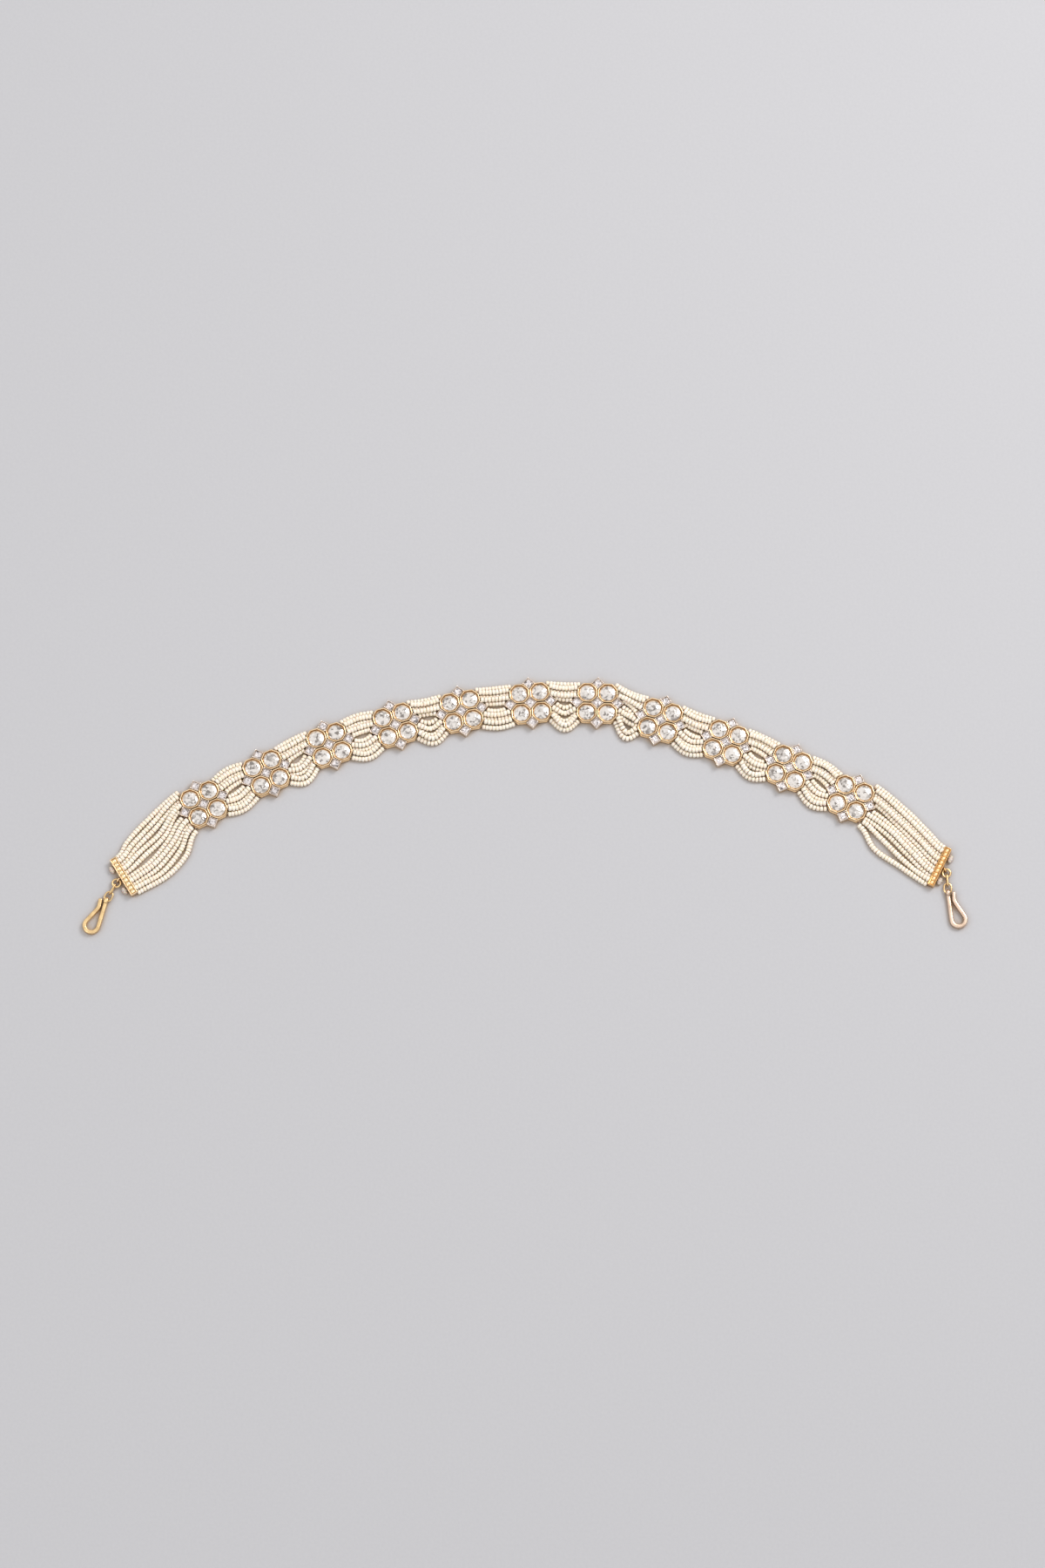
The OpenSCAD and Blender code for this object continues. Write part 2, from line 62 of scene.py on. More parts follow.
# The plaques, in millimetres and degrees as in the part's source
PLAQUE_PITCH = 27.6
OCTAGON_PITCH = 8.25
SETTING_GAP = 0.4
BASE_H = 1.45
OCTAGON_WALL_H = 1.75
OCTAGON_WALL = 0.5
SQUARE_WALL_H = 1.5
SQUARE_WALL = 0.3
SQUARE_LIP = SQUARE_WALL * 0.7
BEZEL_IN = 0.8
PRONG_R = 0.28
PRONG_H = 0.3
POLKI_H = 1.6
SQUARE_H = 1.45
STONE_CLEAR = 0.08
CHANNEL_H = 0.7
CHANNEL_FLOOR = 0.35
CHANNEL_SIDE = 0.2

# The strands
STRAND_D = 1.85
THREAD_R = 0.2
PEARL_LEAN = 0.1
ROW_INNER = 1.4
ROW_STEP = 1.6
ENTRY_CLEAR = 0.12
GAP_STEPS = 9
FAN_STEPS = 24

# The bars and what hangs from them
BAR_LENGTH = 17.3
BAR_WIDTH = 3.0
BAR_H = 3.1
BAR_RIM = 0.4
BAR_CORNER = 0.5
BAR_SINK = 0.5
STUDS = 9
BAR_ROW_INNER = 1.05
BAR_END_WALL = 0.64
FAN_REACH = 44.4
FAN_FLARE = 1.14
BAR_FLARE = 1.1
STUD_SHARE = 0.45
GRAIN_R = 0.16
GRAIN_LIFT = 0.12
GRAIN_OUT = 0.82
KNOT_D = 2.2
KNOT_THREAD_R = 0.17
KNOT_CORE_R = 0.85
KNOT_STRETCH = 1.5
KNOT_TURNS = 9
KNOT_SWING = 1.25
KNOT_WANDER = 0.07
EYE_R = 0.95
LINK_WIRE = 0.66
CHAIN_Z = 1.35
RING_HEADINGS = (237, 301)

SQUARE_REACH = OCTAGON_PITCH * (1 - math.tan(math.radians(22.5))) / 2
COLLET = OCTAGON_PITCH - SETTING_GAP
SQUARE_SIDE = OCTAGON_PITCH * math.sqrt(2) - COLLET - SETTING_GAP
CHANNEL_IN = ROW_INNER - THREAD_R - CHANNEL_SIDE
CHANNEL_OUT = OCTAGON_PITCH - SETTING_GAP / 2 - OCTAGON_WALL
CHANNEL_Z = CHANNEL_FLOOR + CHANNEL_H / 2
BAR_CHANNEL = BAR_LENGTH / 2 - BAR_END_WALL
BAR_ROW_STEP = (BAR_CHANNEL - CHANNEL_SIDE - THREAD_R - BAR_ROW_INNER) / (STRANDS - 1)

# Each plaque's step from the one before, as a share of the pitch and a heading, and its turn
LAY = (
    (0, 0, 25.2),
    (1.018, 27.6, 24.8),
    (1.007, 24.9, 18.1),
    (1.007, 17.6, 16.3),
    (0.989, 12.3, 10.6),
    (1.014, 7, 5.6),
    (0.975, 0, -2),
    (0.957, -16, -15.9),
    (1.007, -19.3, -18.7),
    (1, -23, -22.3),
    (1, -27.2, -23.7),
)
PLAQUES = len(LAY)
MIDDLE_PLAQUE = 6
MIDDLE_AT = Vector((0.0797, 1.54)) * PLAQUE_PITCH

# How far the strands bow out in each gap, from the innermost strand of the row to the
# outermost, as shares of the gap between the plaques
BOW = {
    UPPER: (
        (0.02, 0.04, 0.05, 0.06, 0.1),
        (0.01, -0.01, -0.02, -0.01, 0.03),
        (0.01, 0.02, 0.04, 0.06, 0.07),
        (0.01, -0.02, -0.04, -0.05, -0.04),
        (0, -0.02, -0.03, -0.03, -0.01),
        (-0.02, -0.05, -0.06, -0.05, -0.02),
        (0.05, 0.02, 0, -0.05, -0.06),
        (-0.01, -0.04, -0.06, -0.05, -0.03),
        (0.02, 0.05, 0.05, 0.04, 0.02),
        (0.04, 0.06, 0.05, 0.09, 0.07),
    ),
    LOWER: (
        (0.03, 0.08, 0.14, 0.15, 0.14),
        (0.11, 0.14, 0.14, 0.22, 0.26),
        (0.08, 0.13, 0.14, 0.17, 0.2),
        (0.08, 0.15, 0.27, 0.28, 0.28),
        (0.05, 0.07, 0.07, 0.07, 0.09),
        (0.09, 0.14, 0.31, 0.34, 0.33),
        (-0.05, -0.02, 0.05, 0.3, 0.37),
        (0.04, 0.11, 0.16, 0.17, 0.16),
        (0.07, 0.09, 0.09, 0.21, 0.2),
        (0.04, 0.1, 0.14, 0.17, 0.2),
    ),
}

# The fans at the ends: the bar's reach as a share, the heading to it and the way it faces
FANS = ((0.982, 223.5, 211.2), (1.018, 320.9, 334))
STATIONS = (0.35, 0.67)
FAN = {
    (LEFT, UPPER): ((-0.03, 0.095, 0.26, 0.395, 0.535), (-0.006, 0.139, 0.266, 0.38, 0.52)),
    (RIGHT, UPPER): ((0.11, 0.2, 0.3, 0.405, 0.51), (0.066, 0.168, 0.26, 0.353, 0.457)),
    (LEFT, LOWER): (
        (-0.156, -0.283, -0.385, -0.53, -0.71),
        (-0.208, -0.32, -0.438, -0.582, -0.722),
    ),
    (RIGHT, LOWER): (
        (-0.012, -0.112, -0.222, -0.39, -0.68),
        (-0.054, -0.168, -0.269, -0.43, -0.6),
    ),
}
KNOT_PLACES = (-0.29, 0.29)

# Each kind of piece draws its unevenness from seeds of its own
POLKI_SEEDS, SQUARE_SEEDS, KNOT_SEEDS = 100, 200, 300
BAR_SEEDS = 50
STRAND_SEEDS = 10


# Plane geometry


def heading(degrees):
    return Vector((math.cos(math.radians(degrees)), math.sin(math.radians(degrees))))


def turned(point, degrees):
    return Matrix.Rotation(math.radians(degrees), 2) @ Vector(point)


def plaque_at(k):
    def walked(n):
        place = Vector((0, 0))
        for share, way, _ in LAY[1:n]:
            place += PLAQUE_PITCH * share * heading(way)
        return place

    return MIDDLE_AT + walked(k) - walked(MIDDLE_PLAQUE)


def plaque_turn(k):
    return LAY[k - 1][2]


def on_plaque(k, x, y):
    return plaque_at(k) + turned((x, y), plaque_turn(k))


def side_x(y):
    """How far a plaque's side reaches at a distance y from its middle line."""
    if y < SQUARE_REACH:
        return OCTAGON_PITCH + SQUARE_REACH - y
    if y < OCTAGON_PITCH - SQUARE_REACH:
        return OCTAGON_PITCH
    return 2 * OCTAGON_PITCH - SQUARE_REACH - y


def entry_x(y, r):
    return side_x(max(0, abs(y) - r)) + ENTRY_CLEAR


def end_plaque(side):
    return 1 if side == LEFT else PLAQUES


def bar_at(side):
    share, way, _ = FANS[side]
    return plaque_at(end_plaque(side)) + FAN_REACH * share * heading(way)


def bar_facing(side):
    return FANS[side][2]


def up_along(side):
    return -90 if side == LEFT else 90


def at_bar(side, out, along):
    facing = bar_facing(side)
    return bar_at(side) + out * heading(facing) + along * heading(facing + up_along(side))


# The strands' routes


def row_y(row, i):
    return row * (ROW_INNER + i * ROW_STEP)


def bar_y(row, i):
    return row * (BAR_ROW_INNER + i * BAR_ROW_STEP)


def thread_y(row, i):
    return row * min(abs(row_y(row, i)), CHANNEL_OUT - THREAD_R - STONE_CLEAR)


def gap_line(k, row, i, room):
    """Points in plan from one plaque to the next, for pearls that need that much room."""

    def end(plaque, facing):
        y = row_y(row, i)
        return on_plaque(plaque, facing * (entry_x(y, STRAND_D / 2) + room), y)

    start, stop = end(k, 1), end(k + 1, -1)
    bow = (PLAQUE_PITCH - 2 * OCTAGON_PITCH) * BOW[row][k - 1][i]
    up = heading((plaque_turn(k) + plaque_turn(k + 1)) / 2 + 90)
    return [
        start.lerp(stop, q / GAP_STEPS) + row * bow * math.sin(math.pi * q / GAP_STEPS) * up
        for q in range(GAP_STEPS + 1)
    ]


def fan_line(side, row, i, room):
    """Points in plan from the plaque at an end to its bar."""
    k = end_plaque(side)
    facing = -1 if side == LEFT else 1
    y = row_y(row, i)
    start = on_plaque(k, facing * (entry_x(y, STRAND_D / 2) + room), FAN_FLARE * y)
    stop = at_bar(side, -BAR_WIDTH / 2 - ENTRY_CLEAR - room, BAR_FLARE * bar_y(row, i))
    foot = on_plaque(k, facing * OCTAGON_PITCH, 0)
    way = bar_at(side) - foot
    up = heading(math.degrees(math.atan2(way.y, way.x)) + up_along(side))
    near, far = (
        foot + way * station + BAR_LENGTH * places[i] * up
        for station, places in zip(STATIONS, FAN[side, row])
    )
    out = heading(plaque_turn(k)) * facing
    reach = (stop - start).length / 3
    before = out + (near - start).normalized()
    after = heading(bar_facing(side)) + (stop - far).normalized()
    knots = [near - 2 * reach * before.normalized(), start, near, far, stop]
    knots.append(far + 2 * reach * after.normalized())
    return [on_curve(knots, 3 * q / FAN_STEPS) for q in range(FAN_STEPS + 1)]


def on_curve(knots, t):
    j = min(2, int(t))
    t -= j
    a, b, c, d = knots[j : j + 4]
    bend = (2 * a - 5 * b + 4 * c - d) * t * t
    return 0.5 * (2 * b + (c - a) * t + bend + (3 * b - a - 3 * c + d) * t * t * t)


def distance_to(point, line):
    best = math.inf
    for a, b in zip(line, line[1:]):
        along = b - a
        t = max(0, min(1, (point - a).dot(along) / along.dot(along)))
        best = min(best, (point - a - t * along).length)
    return best


def carried(line, before, after):
    """The line, carried straight on at both ends in the given headings."""
    return [line[0] - STRAND_D * heading(before), *line, line[-1] + STRAND_D * heading(after)]


def raised(lines, i, ends, touch):
    """A strand's points with their heights: every second strand lies in the grooves."""
    if i % 2 == 0:
        return [Vector((p.x, p.y, touch / 2)) for p in lines[i]]
    points = []
    for p in lines[i]:
        apart = min(distance_to(p, carried(lines[j], *ends)) for j in (i - 1, i + 1))
        lift = math.sqrt(max(0, touch**2 - apart**2))
        points.append(Vector((p.x, p.y, touch / 2 + lift)))
    return points


def strand_stretches(row, i, room, touch):
    """A strand from the left bar to the right bar: stretches of points, strung or bare."""
    stretches = []

    def bar_thread(side):
        thread = [at_bar(side, out, bar_y(row, i)) for out in (0, -BAR_WIDTH / 2 - ENTRY_CLEAR)]
        return [Vector((*p, CHANNEL_Z)) for p in thread]

    def fan(side):
        facing = 0 if side == RIGHT else 180
        lines = [fan_line(side, row, j, room) for j in range(STRANDS)]
        ends = (plaque_turn(end_plaque(side)) + facing, bar_facing(side))
        return raised(lines, i, ends, touch)

    stretches.append((False, bar_thread(LEFT)))
    stretches.append((True, fan(LEFT)[::-1]))
    for k in range(1, PLAQUES + 1):
        y = thread_y(row, i)
        reach = entry_x(y, THREAD_R)
        thread = [on_plaque(k, x, y) for x in (-reach, reach)]
        stretches.append((False, [Vector((*p, CHANNEL_Z)) for p in thread]))
        if k < PLAQUES:
            lines = [gap_line(k, row, j, room) for j in range(STRANDS)]
            points = raised(lines, i, (plaque_turn(k), plaque_turn(k + 1)), touch)
            stretches.append((True, points))
    stretches.append((True, fan(RIGHT)))
    stretches.append((False, bar_thread(RIGHT)[::-1]))
    return stretches


# Sizes and colours


def length(label, words, default):
    return FloatProperty(
        name=label, description=words, default=default, min=0, unit="LENGTH", precision=5
    )


def colour(label, words, default):
    return FloatVectorProperty(
        name=label, description=words, default=default, size=3, min=0, max=1, subtype="COLOR"
    )


def share(label, words, default):
    return FloatProperty(
        name=label, description=words, default=default, min=0, max=1, subtype="FACTOR"
    )


class OrnamentSizes(bpy.types.PropertyGroup):
    """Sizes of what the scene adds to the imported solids."""

    pearl: length("Pearl", "Diameter of a seed pearl", 0.00218)
    pearl_apart: length("Strands apart", "Distance between neighbouring strands", 0.00216)
    pearl_length: length("Pearl length", "Length of a seed pearl along its thread", 0.00136)
    pearl_pitch: length("Pearl pitch", "Distance from pearl to pearl", 0.00136)
    pearl_room: length("Pearl room", "From a plaque to the middle of the first pearl", 0.00045)
    pearl_uneven: share("Pearl unevenness", "Spread of the pearls' sizes", 0.04)
    thread: length("Thread", "Diameter of the thread", 0.00036)
    rounding: length("Rounding", "Rounding of the gold's edges", 0.00014)
    rim_uneven: length("Rim unevenness", "How far a setting's rim strays", 0.00007)
    bar_uneven: length("Bar unevenness", "How far a bar's studs stray", 0.0001)
    rim_grain: FloatProperty(
        name="Rim grain", description="Fineness of the rims' unevenness", default=650, min=0
    )
    hook_grain: length("Hook grain", "Size of the faces that the hooks are evened to", 0.0001)
    hook_fullness: length("Hook fullness", "How far the hooks' skin is let out", 0.00018)
    hook_softness: IntProperty(
        name="Hook softness", description="Passes that melt the hooks' edges", default=36, min=0
    )
    polki_uneven: share("Polki unevenness", "How far a polki's facets stray", 0.16)
    seed: IntProperty(name="Seed", description="Seed of all that is uneven", default=7, min=0)


class OrnamentColours(bpy.types.PropertyGroup):
    """Colours of the ornament."""

    gold: colour("Gold", "Lit gold", (1, 0.76, 0.48))
    bright_gold: colour("Bright gold", "Studs of the left bar", (0.98, 0.82, 0.5))
    bright_amber_gold: colour("Bright amber", "Left hook, links, right studs", (0.96, 0.69, 0.36))
    amber_gold: colour("Amber gold", "Right bar", (0.92, 0.57, 0.25))
    # Painted shade: the colour that the gold takes in its recesses, where less light reaches; its
    # random darker patches lean to it too
    gold_shade_and_patches: colour("Deep gold", "Gold in the recesses", (0.28, 0.135, 0.045))
    pale_gold: colour("Pale gold", "Gold of the square settings", (0.96, 0.87, 0.79))
    # Painted shade: the colour that the pale gold takes in its recesses; its random darker patches
    # lean to it too
    pale_gold_shade_and_patches: colour("Deep pale gold", "Its recesses", (0.76, 0.59, 0.43))
    rose_gold: colour("Rose gold", "Gold of the right hook", (0.8, 0.61, 0.475))
    pearl: colour("Pearl", "Lightest pearls", (0.93, 0.845, 0.73))
    pearl_shade: colour("Pearl shade", "Darkest pearls", (0.89, 0.75, 0.575))
    # Painted shade: the colour that the pearls take where they crowd one another
    pearl_crowd_shade: colour("Deep pearl", "Pearls where they crowd", (0.48, 0.26, 0.08))
    polki: colour("Polki", "Lit facets of the polki stones", (0.76, 0.71, 0.665))
    polki_shade: colour("Polki shade", "Shaded facets", (0.2, 0.17, 0.15))
    square: colour("Square stones", "Lit facets of the square stones", (0.75, 0.69, 0.68))
    square_shade: colour("Square shade", "Shaded facets", (0.13, 0.11, 0.11))
    thread: colour("Thread", "Knotted thread", (0.76, 0.62, 0.53))
    floor: colour("Floor", "The table", (0.482, 0.476, 0.492))
    # Painted shadow with a painted warm glow from the pearls: the table's colour close round the
    # ornament
    floor_warm_shade: colour("Warm floor", "The table between the strands", (0.4, 0.27, 0.14))


CAMERA_ANGLE = math.radians(74)


class OrnamentStage(bpy.types.PropertyGroup):
    """The light and the camera."""

    sky: FloatProperty(name="Sky", description="Strength of the sky", default=0.97, min=0)
    key: FloatProperty(name="Key light", description="Key light in watts", default=10, min=0)
    fill: FloatProperty(name="Fill light", description="Fill light in watts", default=2, min=0)
    elevation: FloatProperty(
        name="Elevation", description="Camera's height", default=CAMERA_ANGLE, subtype="ANGLE"
    )
    distance: length("Distance", "Camera's distance", 2.5)
    view_height: length("View height", "Height of table that the picture takes in", 0.63)


# Node trees


def set_up(thing, **settings):
    """The thing, with these settings."""
    for name, value in settings.items():
        setattr(thing, name, value)
    return thing


def picked(sockets, name):
    """The socket of that name, or at that place, among those in use."""
    used = [socket for socket in sockets if socket.enabled]
    return used[name] if isinstance(name, int) else next(s for s in used if s.name == name)


class Nodes:
    """Adds nodes to a tree, each with its inputs given as values or sockets."""

    def __init__(self, tree):
        self.tree = tree

    def add(self, kind, inputs=None, **settings):
        node = set_up(self.tree.nodes.new(kind), **settings)
        for name, value in (inputs or {}).items():
            socket = picked(node.inputs, name)
            if isinstance(value, bpy.types.NodeSocket):
                self.tree.links.new(value, socket)
            else:
                socket.default_value = value
        return node

    def out(self, kind, inputs=None, output=0, **settings):
        return picked(self.add(kind, inputs, **settings).outputs, output)

    def number(self, operation, *values, **settings):
        return self.out("ShaderNodeMath", dict(enumerate(values)), operation=operation, **settings)

    def vector(self, operation, first, second):
        inputs = {0: first, "Scale" if operation == "SCALE" else 1: second}
        return self.out("ShaderNodeVectorMath", inputs, operation=operation)

    def marked(self, name, kind):
        """What each point or edge of the geometry says under that name."""
        inputs = {"Name": name}
        return self.out("GeometryNodeInputNamedAttribute", inputs, "Attribute", data_type=kind)

    def placed(self, points, piece, turn, **more):
        """The piece, turned, at each of the points."""
        mesh = self.out("GeometryNodeObjectInfo", {"Object": piece}, "Geometry")
        inputs = {"Points": points, "Instance": mesh, "Rotation": turn, **more}
        return self.out("GeometryNodeInstanceOnPoints", inputs)

    def ending(self, *parts):
        """Joins the parts, each with its finish, and gives them out."""
        joined = self.add("GeometryNodeJoinGeometry")
        for geometry, finish in parts:
            inputs = {"Geometry": geometry, "Material": finish}
            geometry = self.out("GeometryNodeSetMaterial", inputs)
            self.tree.links.new(geometry, joined.inputs[0])
        self.add("NodeGroupOutput", {0: joined.outputs[0]})

    def noise(self, at, scale, detail):
        return self.out("ShaderNodeTexNoise", {"Vector": at, "Scale": scale, "Detail": detail})

    def openness(self, distance, samples=2):
        """How little of what stands within the distance shades a point."""
        inputs = {"Distance": distance}
        return self.out("ShaderNodeAmbientOcclusion", inputs, "AO", samples=samples)

    def bump(self, strength, depth, height):
        inputs = {"Strength": strength, "Distance": depth, "Height": height}
        return self.out("ShaderNodeBump", inputs)

    def ranged(self, value, low, high, to_low, to_high):
        limits = {"From Min": low, "From Max": high, "To Min": to_low, "To Max": to_high}
        return self.out("ShaderNodeMapRange", {"Value": value, **limits})

    def mixed(self, factor, *colours):
        ends = (c if isinstance(c, bpy.types.NodeSocket) else (*c, 1) for c in colours)
        inputs = dict(zip(("Factor", "A", "B"), (factor, *ends)))
        return self.out("ShaderNodeMix", inputs, "Result", data_type="RGBA")


def geometry_tree(name, inputs):
    """A geometry tree with named inputs, its helper, and the inputs' sockets."""
    tree = bpy.data.node_groups.new(name, "GeometryNodeTree")
    for label, kind in {"Geometry": "Geometry", **inputs}.items():
        tree.interface.new_socket(name=label, in_out="INPUT", socket_type="NodeSocket" + kind)
    tree.interface.new_socket(name="Geometry", in_out="OUTPUT", socket_type="NodeSocketGeometry")
    return tree, Nodes(tree), tree.nodes.new("NodeGroupInput").outputs


def grown(piece, tree, values):
    """Gives the piece the mesh that the tree makes from its own mesh."""
    modifier = piece.modifiers.new("Grow", "NODES")
    modifier.node_group = tree
    for item in tree.interface.items_tree:
        if item.in_out == "INPUT" and item.name in values:
            modifier[item.identifier] = values[item.name]
    return applied(piece)


def applied(piece):
    """Gives the piece the mesh that its modifiers make, and removes them."""
    bpy.context.view_layer.update()
    graph = bpy.context.evaluated_depsgraph_get()
    mesh = bpy.data.meshes.new_from_object(piece.evaluated_get(graph), depsgraph=graph)
    piece.modifiers.clear()
    piece.data = mesh
    return piece


PARTS = ("Body", "First part", "Second part")
FINISHES = ("Body finish", "First finish", "Second finish")
NUMBERS = ("Turn", "Unevenness", "Grain", "Seed")


def mounting_tree():
    """A body with two kinds of parts mounted on it, at points that say which kind they take."""
    kinds = ((PARTS, "Object"), (FINISHES, "Material"), (NUMBERS, "Float"))
    inputs = {label: kind for labels, kind in kinds for label in labels}
    tree, nodes, given = geometry_tree("Mounting", inputs)
    kind = nodes.marked("kind", "INT")
    euler = nodes.out("ShaderNodeCombineXYZ", {"Z": given["Turn"]})
    turn = nodes.out("FunctionNodeEulerToRotation", {"Euler": euler})
    inputs = {"W": given["Seed"], "Scale": given["Grain"], "Detail": 1.0}
    noise = nodes.out("ShaderNodeTexNoise", inputs, "Color", noise_dimensions="4D")
    centred = nodes.vector("SUBTRACT", noise, (0.5, 0.5, 0.5))
    strayed = nodes.vector("SCALE", centred, given["Unevenness"])
    parts = []
    for number, (part, finish) in enumerate(zip(PARTS, FINISHES)):
        pair = {"A": kind, "B": number}
        asked = nodes.out("FunctionNodeCompare", pair, data_type="INT", operation="EQUAL")
        placed = nodes.placed(given["Geometry"], given[part], turn, Selection=asked)
        real = nodes.out("GeometryNodeRealizeInstances", {"Geometry": placed})
        if number:
            real = nodes.out("GeometryNodeSetPosition", {"Geometry": real, "Offset": strayed})
        parts.append((real, given[finish]))
    nodes.ending(*parts)
    return tree


def stringing_tree():
    """Pearls along the strung edges of a route, and a thread along all of it."""
    inputs = {label: "Float" for label in ("Pitch", "Unevenness", "Thread")}
    inputs |= {label: "Material" for label in ("Pearl finish", "Thread finish")}
    inputs |= {"Pearl": "Object", "Seed": "Int"}
    tree, nodes, given = geometry_tree("Stringing", inputs)
    strung = nodes.marked("strung", "BOOLEAN")
    line = nodes.out("GeometryNodeMeshToCurve", {"Mesh": given["Geometry"], "Selection": strung})
    pitches = nodes.number("DIVIDE", nodes.out("GeometryNodeSplineLength"), given["Pitch"])
    count = nodes.number("ROUND", nodes.number("ADD", pitches, 1.0))
    spaced = nodes.out("GeometryNodeResampleCurve", {"Curve": line, "Count": count}, mode="COUNT")

    def drawn(kind, low, high, draw):
        seed = nodes.number("ADD", given["Seed"], draw)
        inputs = {"Min": low, "Max": high, "Seed": seed}
        return nodes.out("FunctionNodeRandomValue", inputs, data_type=kind)

    ones = Vector((1, 1, 1))
    stray = drawn("FLOAT_VECTOR", -ones, ones, 1.0)
    size = nodes.vector("ADD", nodes.vector("SCALE", stray, given["Unevenness"]), ones)
    lean = drawn("FLOAT_VECTOR", -PEARL_LEAN * ones, PEARL_LEAN * ones, 2.0)
    aim = nodes.vector("ADD", nodes.out("GeometryNodeInputTangent"), lean)
    turn = nodes.out("FunctionNodeAlignRotationToVector", {"Vector": aim}, axis="Z")
    beads = nodes.placed(spaced, given["Pearl"], turn, Scale=size)
    store = {"Geometry": beads, "Name": "tone", "Value": drawn("FLOAT", 0.0, 1.0, 3.0)}
    kept = {"data_type": "FLOAT", "domain": "INSTANCE"}
    toned = nodes.out("GeometryNodeStoreNamedAttribute", store, **kept)
    pearls = nodes.out("GeometryNodeRealizeInstances", {"Geometry": toned})

    route = nodes.out("GeometryNodeMeshToCurve", {"Mesh": given["Geometry"]})
    radius = nodes.number("MULTIPLY", given["Thread"], 0.5)
    profile = nodes.out("GeometryNodeCurvePrimitiveCircle", {"Resolution": 6, "Radius": radius})
    inputs = {"Curve": route, "Profile Curve": profile, "Fill Caps": True}
    thread = nodes.out("GeometryNodeCurveToMesh", inputs)
    nodes.ending((pearls, given["Pearl finish"]), (thread, given["Thread finish"]))
    return tree


# Finishes

THREAD_SHADE = (0.55, 0.5, 0.45)
PAPER_FIBRE = (0.9, 0.9, 0.9)


def new_finish(name):
    """A material with its helper and the position on the piece."""
    material = bpy.data.materials.get(name)
    if material:
        bpy.data.materials.remove(material)
    material = bpy.data.materials.new(name)
    material.use_nodes = True
    material.node_tree.nodes.clear()
    nodes = Nodes(material.node_tree)
    return material, nodes, nodes.out("ShaderNodeTexCoord", output="Object")


def shaded(material, nodes, inputs):
    shader = nodes.out("ShaderNodeBsdfPrincipled", inputs)
    nodes.add("ShaderNodeOutputMaterial", {"Surface": shader})
    return material


def gold_finish(name, light, shade_colour, roughness):
    """Cast and polished gold with painted shade in its recesses, random darker patches and a
    slightly uneven skin.
    """
    material, nodes, at = new_finish(name)
    broad, fine = nodes.noise(at, 420.0, 3.0), nodes.noise(at, 2600.0, 3.0)
    # Painted shade: the gold turns towards its shade colour where things stand close round it, as
    # in its recesses; random darker patches lean the same way
    depth = nodes.ranged(nodes.openness(1.2 * MM), 0.15, 0.85, 1.0, 0.0)
    patches = nodes.ranged(broad, 0.4, 0.75, 0.0, 0.35)
    look = {
        "Base Color": nodes.mixed(nodes.number("MAXIMUM", depth, patches), light, shade_colour),
        "Metallic": 1.0,
        "Roughness": nodes.ranged(fine, 0.3, 0.7, roughness * 0.75, roughness * 1.3),
        "Normal": nodes.bump(0.35, 0.06 * MM, nodes.number("ADD", broad, fine)),
    }
    return shaded(material, nodes, look)


def stone_finish(name, light, shade, grain, foil):
    """A foil-backed stone: facets painted lit or shaded, over crumpled foil, under clear gloss."""
    material, nodes, at = new_finish(name)
    facet = nodes.out("ShaderNodeAttribute", {}, "Fac", attribute_name="facet")
    cells = nodes.add("ShaderNodeTexVoronoi", {"Vector": at, "Scale": grain}).outputs
    tone = nodes.out("ShaderNodeSeparateColor", {"Color": cells["Color"]})
    # Painted light and shade: each facet, and each cell of the foil, is painted between the lit
    # and the shaded tone
    amount = nodes.ranged(nodes.number("MULTIPLY", facet, tone), 0.12, 0.6, 0.0, 1.0)
    look = {
        "Base Color": nodes.mixed(amount, light, shade),
        "Metallic": foil,
        "Roughness": 0.16,
        "Normal": nodes.bump(0.5, 0.25 * MM, cells["Distance"]),
        "Coat Weight": 1.0,
        "Coat Roughness": 0.03,
        "Coat IOR": 1.7,
    }
    return shaded(material, nodes, look)


def pearl_finish(name, light, shade, shade_colour):
    """Cream pearl with a soft lustre, each pearl of its own tone, with painted shade where they
    crowd.
    """
    material, nodes, at = new_finish(name)
    tone = nodes.out("ShaderNodeAttribute", {}, "Fac", attribute_name="tone")
    cloud = nodes.noise(at, 900.0, 2.0)
    own = nodes.mixed(nodes.number("MULTIPLY", tone, cloud, use_clamp=True), light, shade)
    # Painted shade: pearls darken towards the shade colour where others stand close round them
    shade_where_crowded = nodes.ranged(nodes.openness(0.9 * MM), 0.0, 0.5, 1.0, 0.0)
    look = {
        "Base Color": nodes.mixed(shade_where_crowded, own, shade_colour),
        "Roughness": 0.36,
        "Normal": nodes.bump(0.15, 0.05 * MM, cloud),
        "Subsurface Weight": 0.4,
        "Subsurface Radius": (1.0, 0.8, 0.55),
        "Subsurface Scale": 0.4 * MM,
        "Coat Weight": 0.5,
        "Coat Roughness": 0.1,
    }
    return shaded(material, nodes, look)


def thread_finish(name, light):
    """Pale twisted thread."""
    material, nodes, at = new_finish(name)
    bands = {"Vector": at, "Scale": 1500.0, "Distortion": 2.0, "Detail": 1.0}
    twist = nodes.out("ShaderNodeTexWave", bands, "Fac", bands_direction="DIAGONAL")
    between = nodes.ranged(twist, 0.0, 1.0, 0.35, 0.0)
    look = {
        "Base Color": nodes.mixed(between, light, THREAD_SHADE),
        "Roughness": 0.55,
        "Normal": nodes.bump(0.5, 0.05 * MM, twist),
        "Subsurface Weight": 0.3,
        "Subsurface Scale": 0.3 * MM,
    }
    return shaded(material, nodes, look)


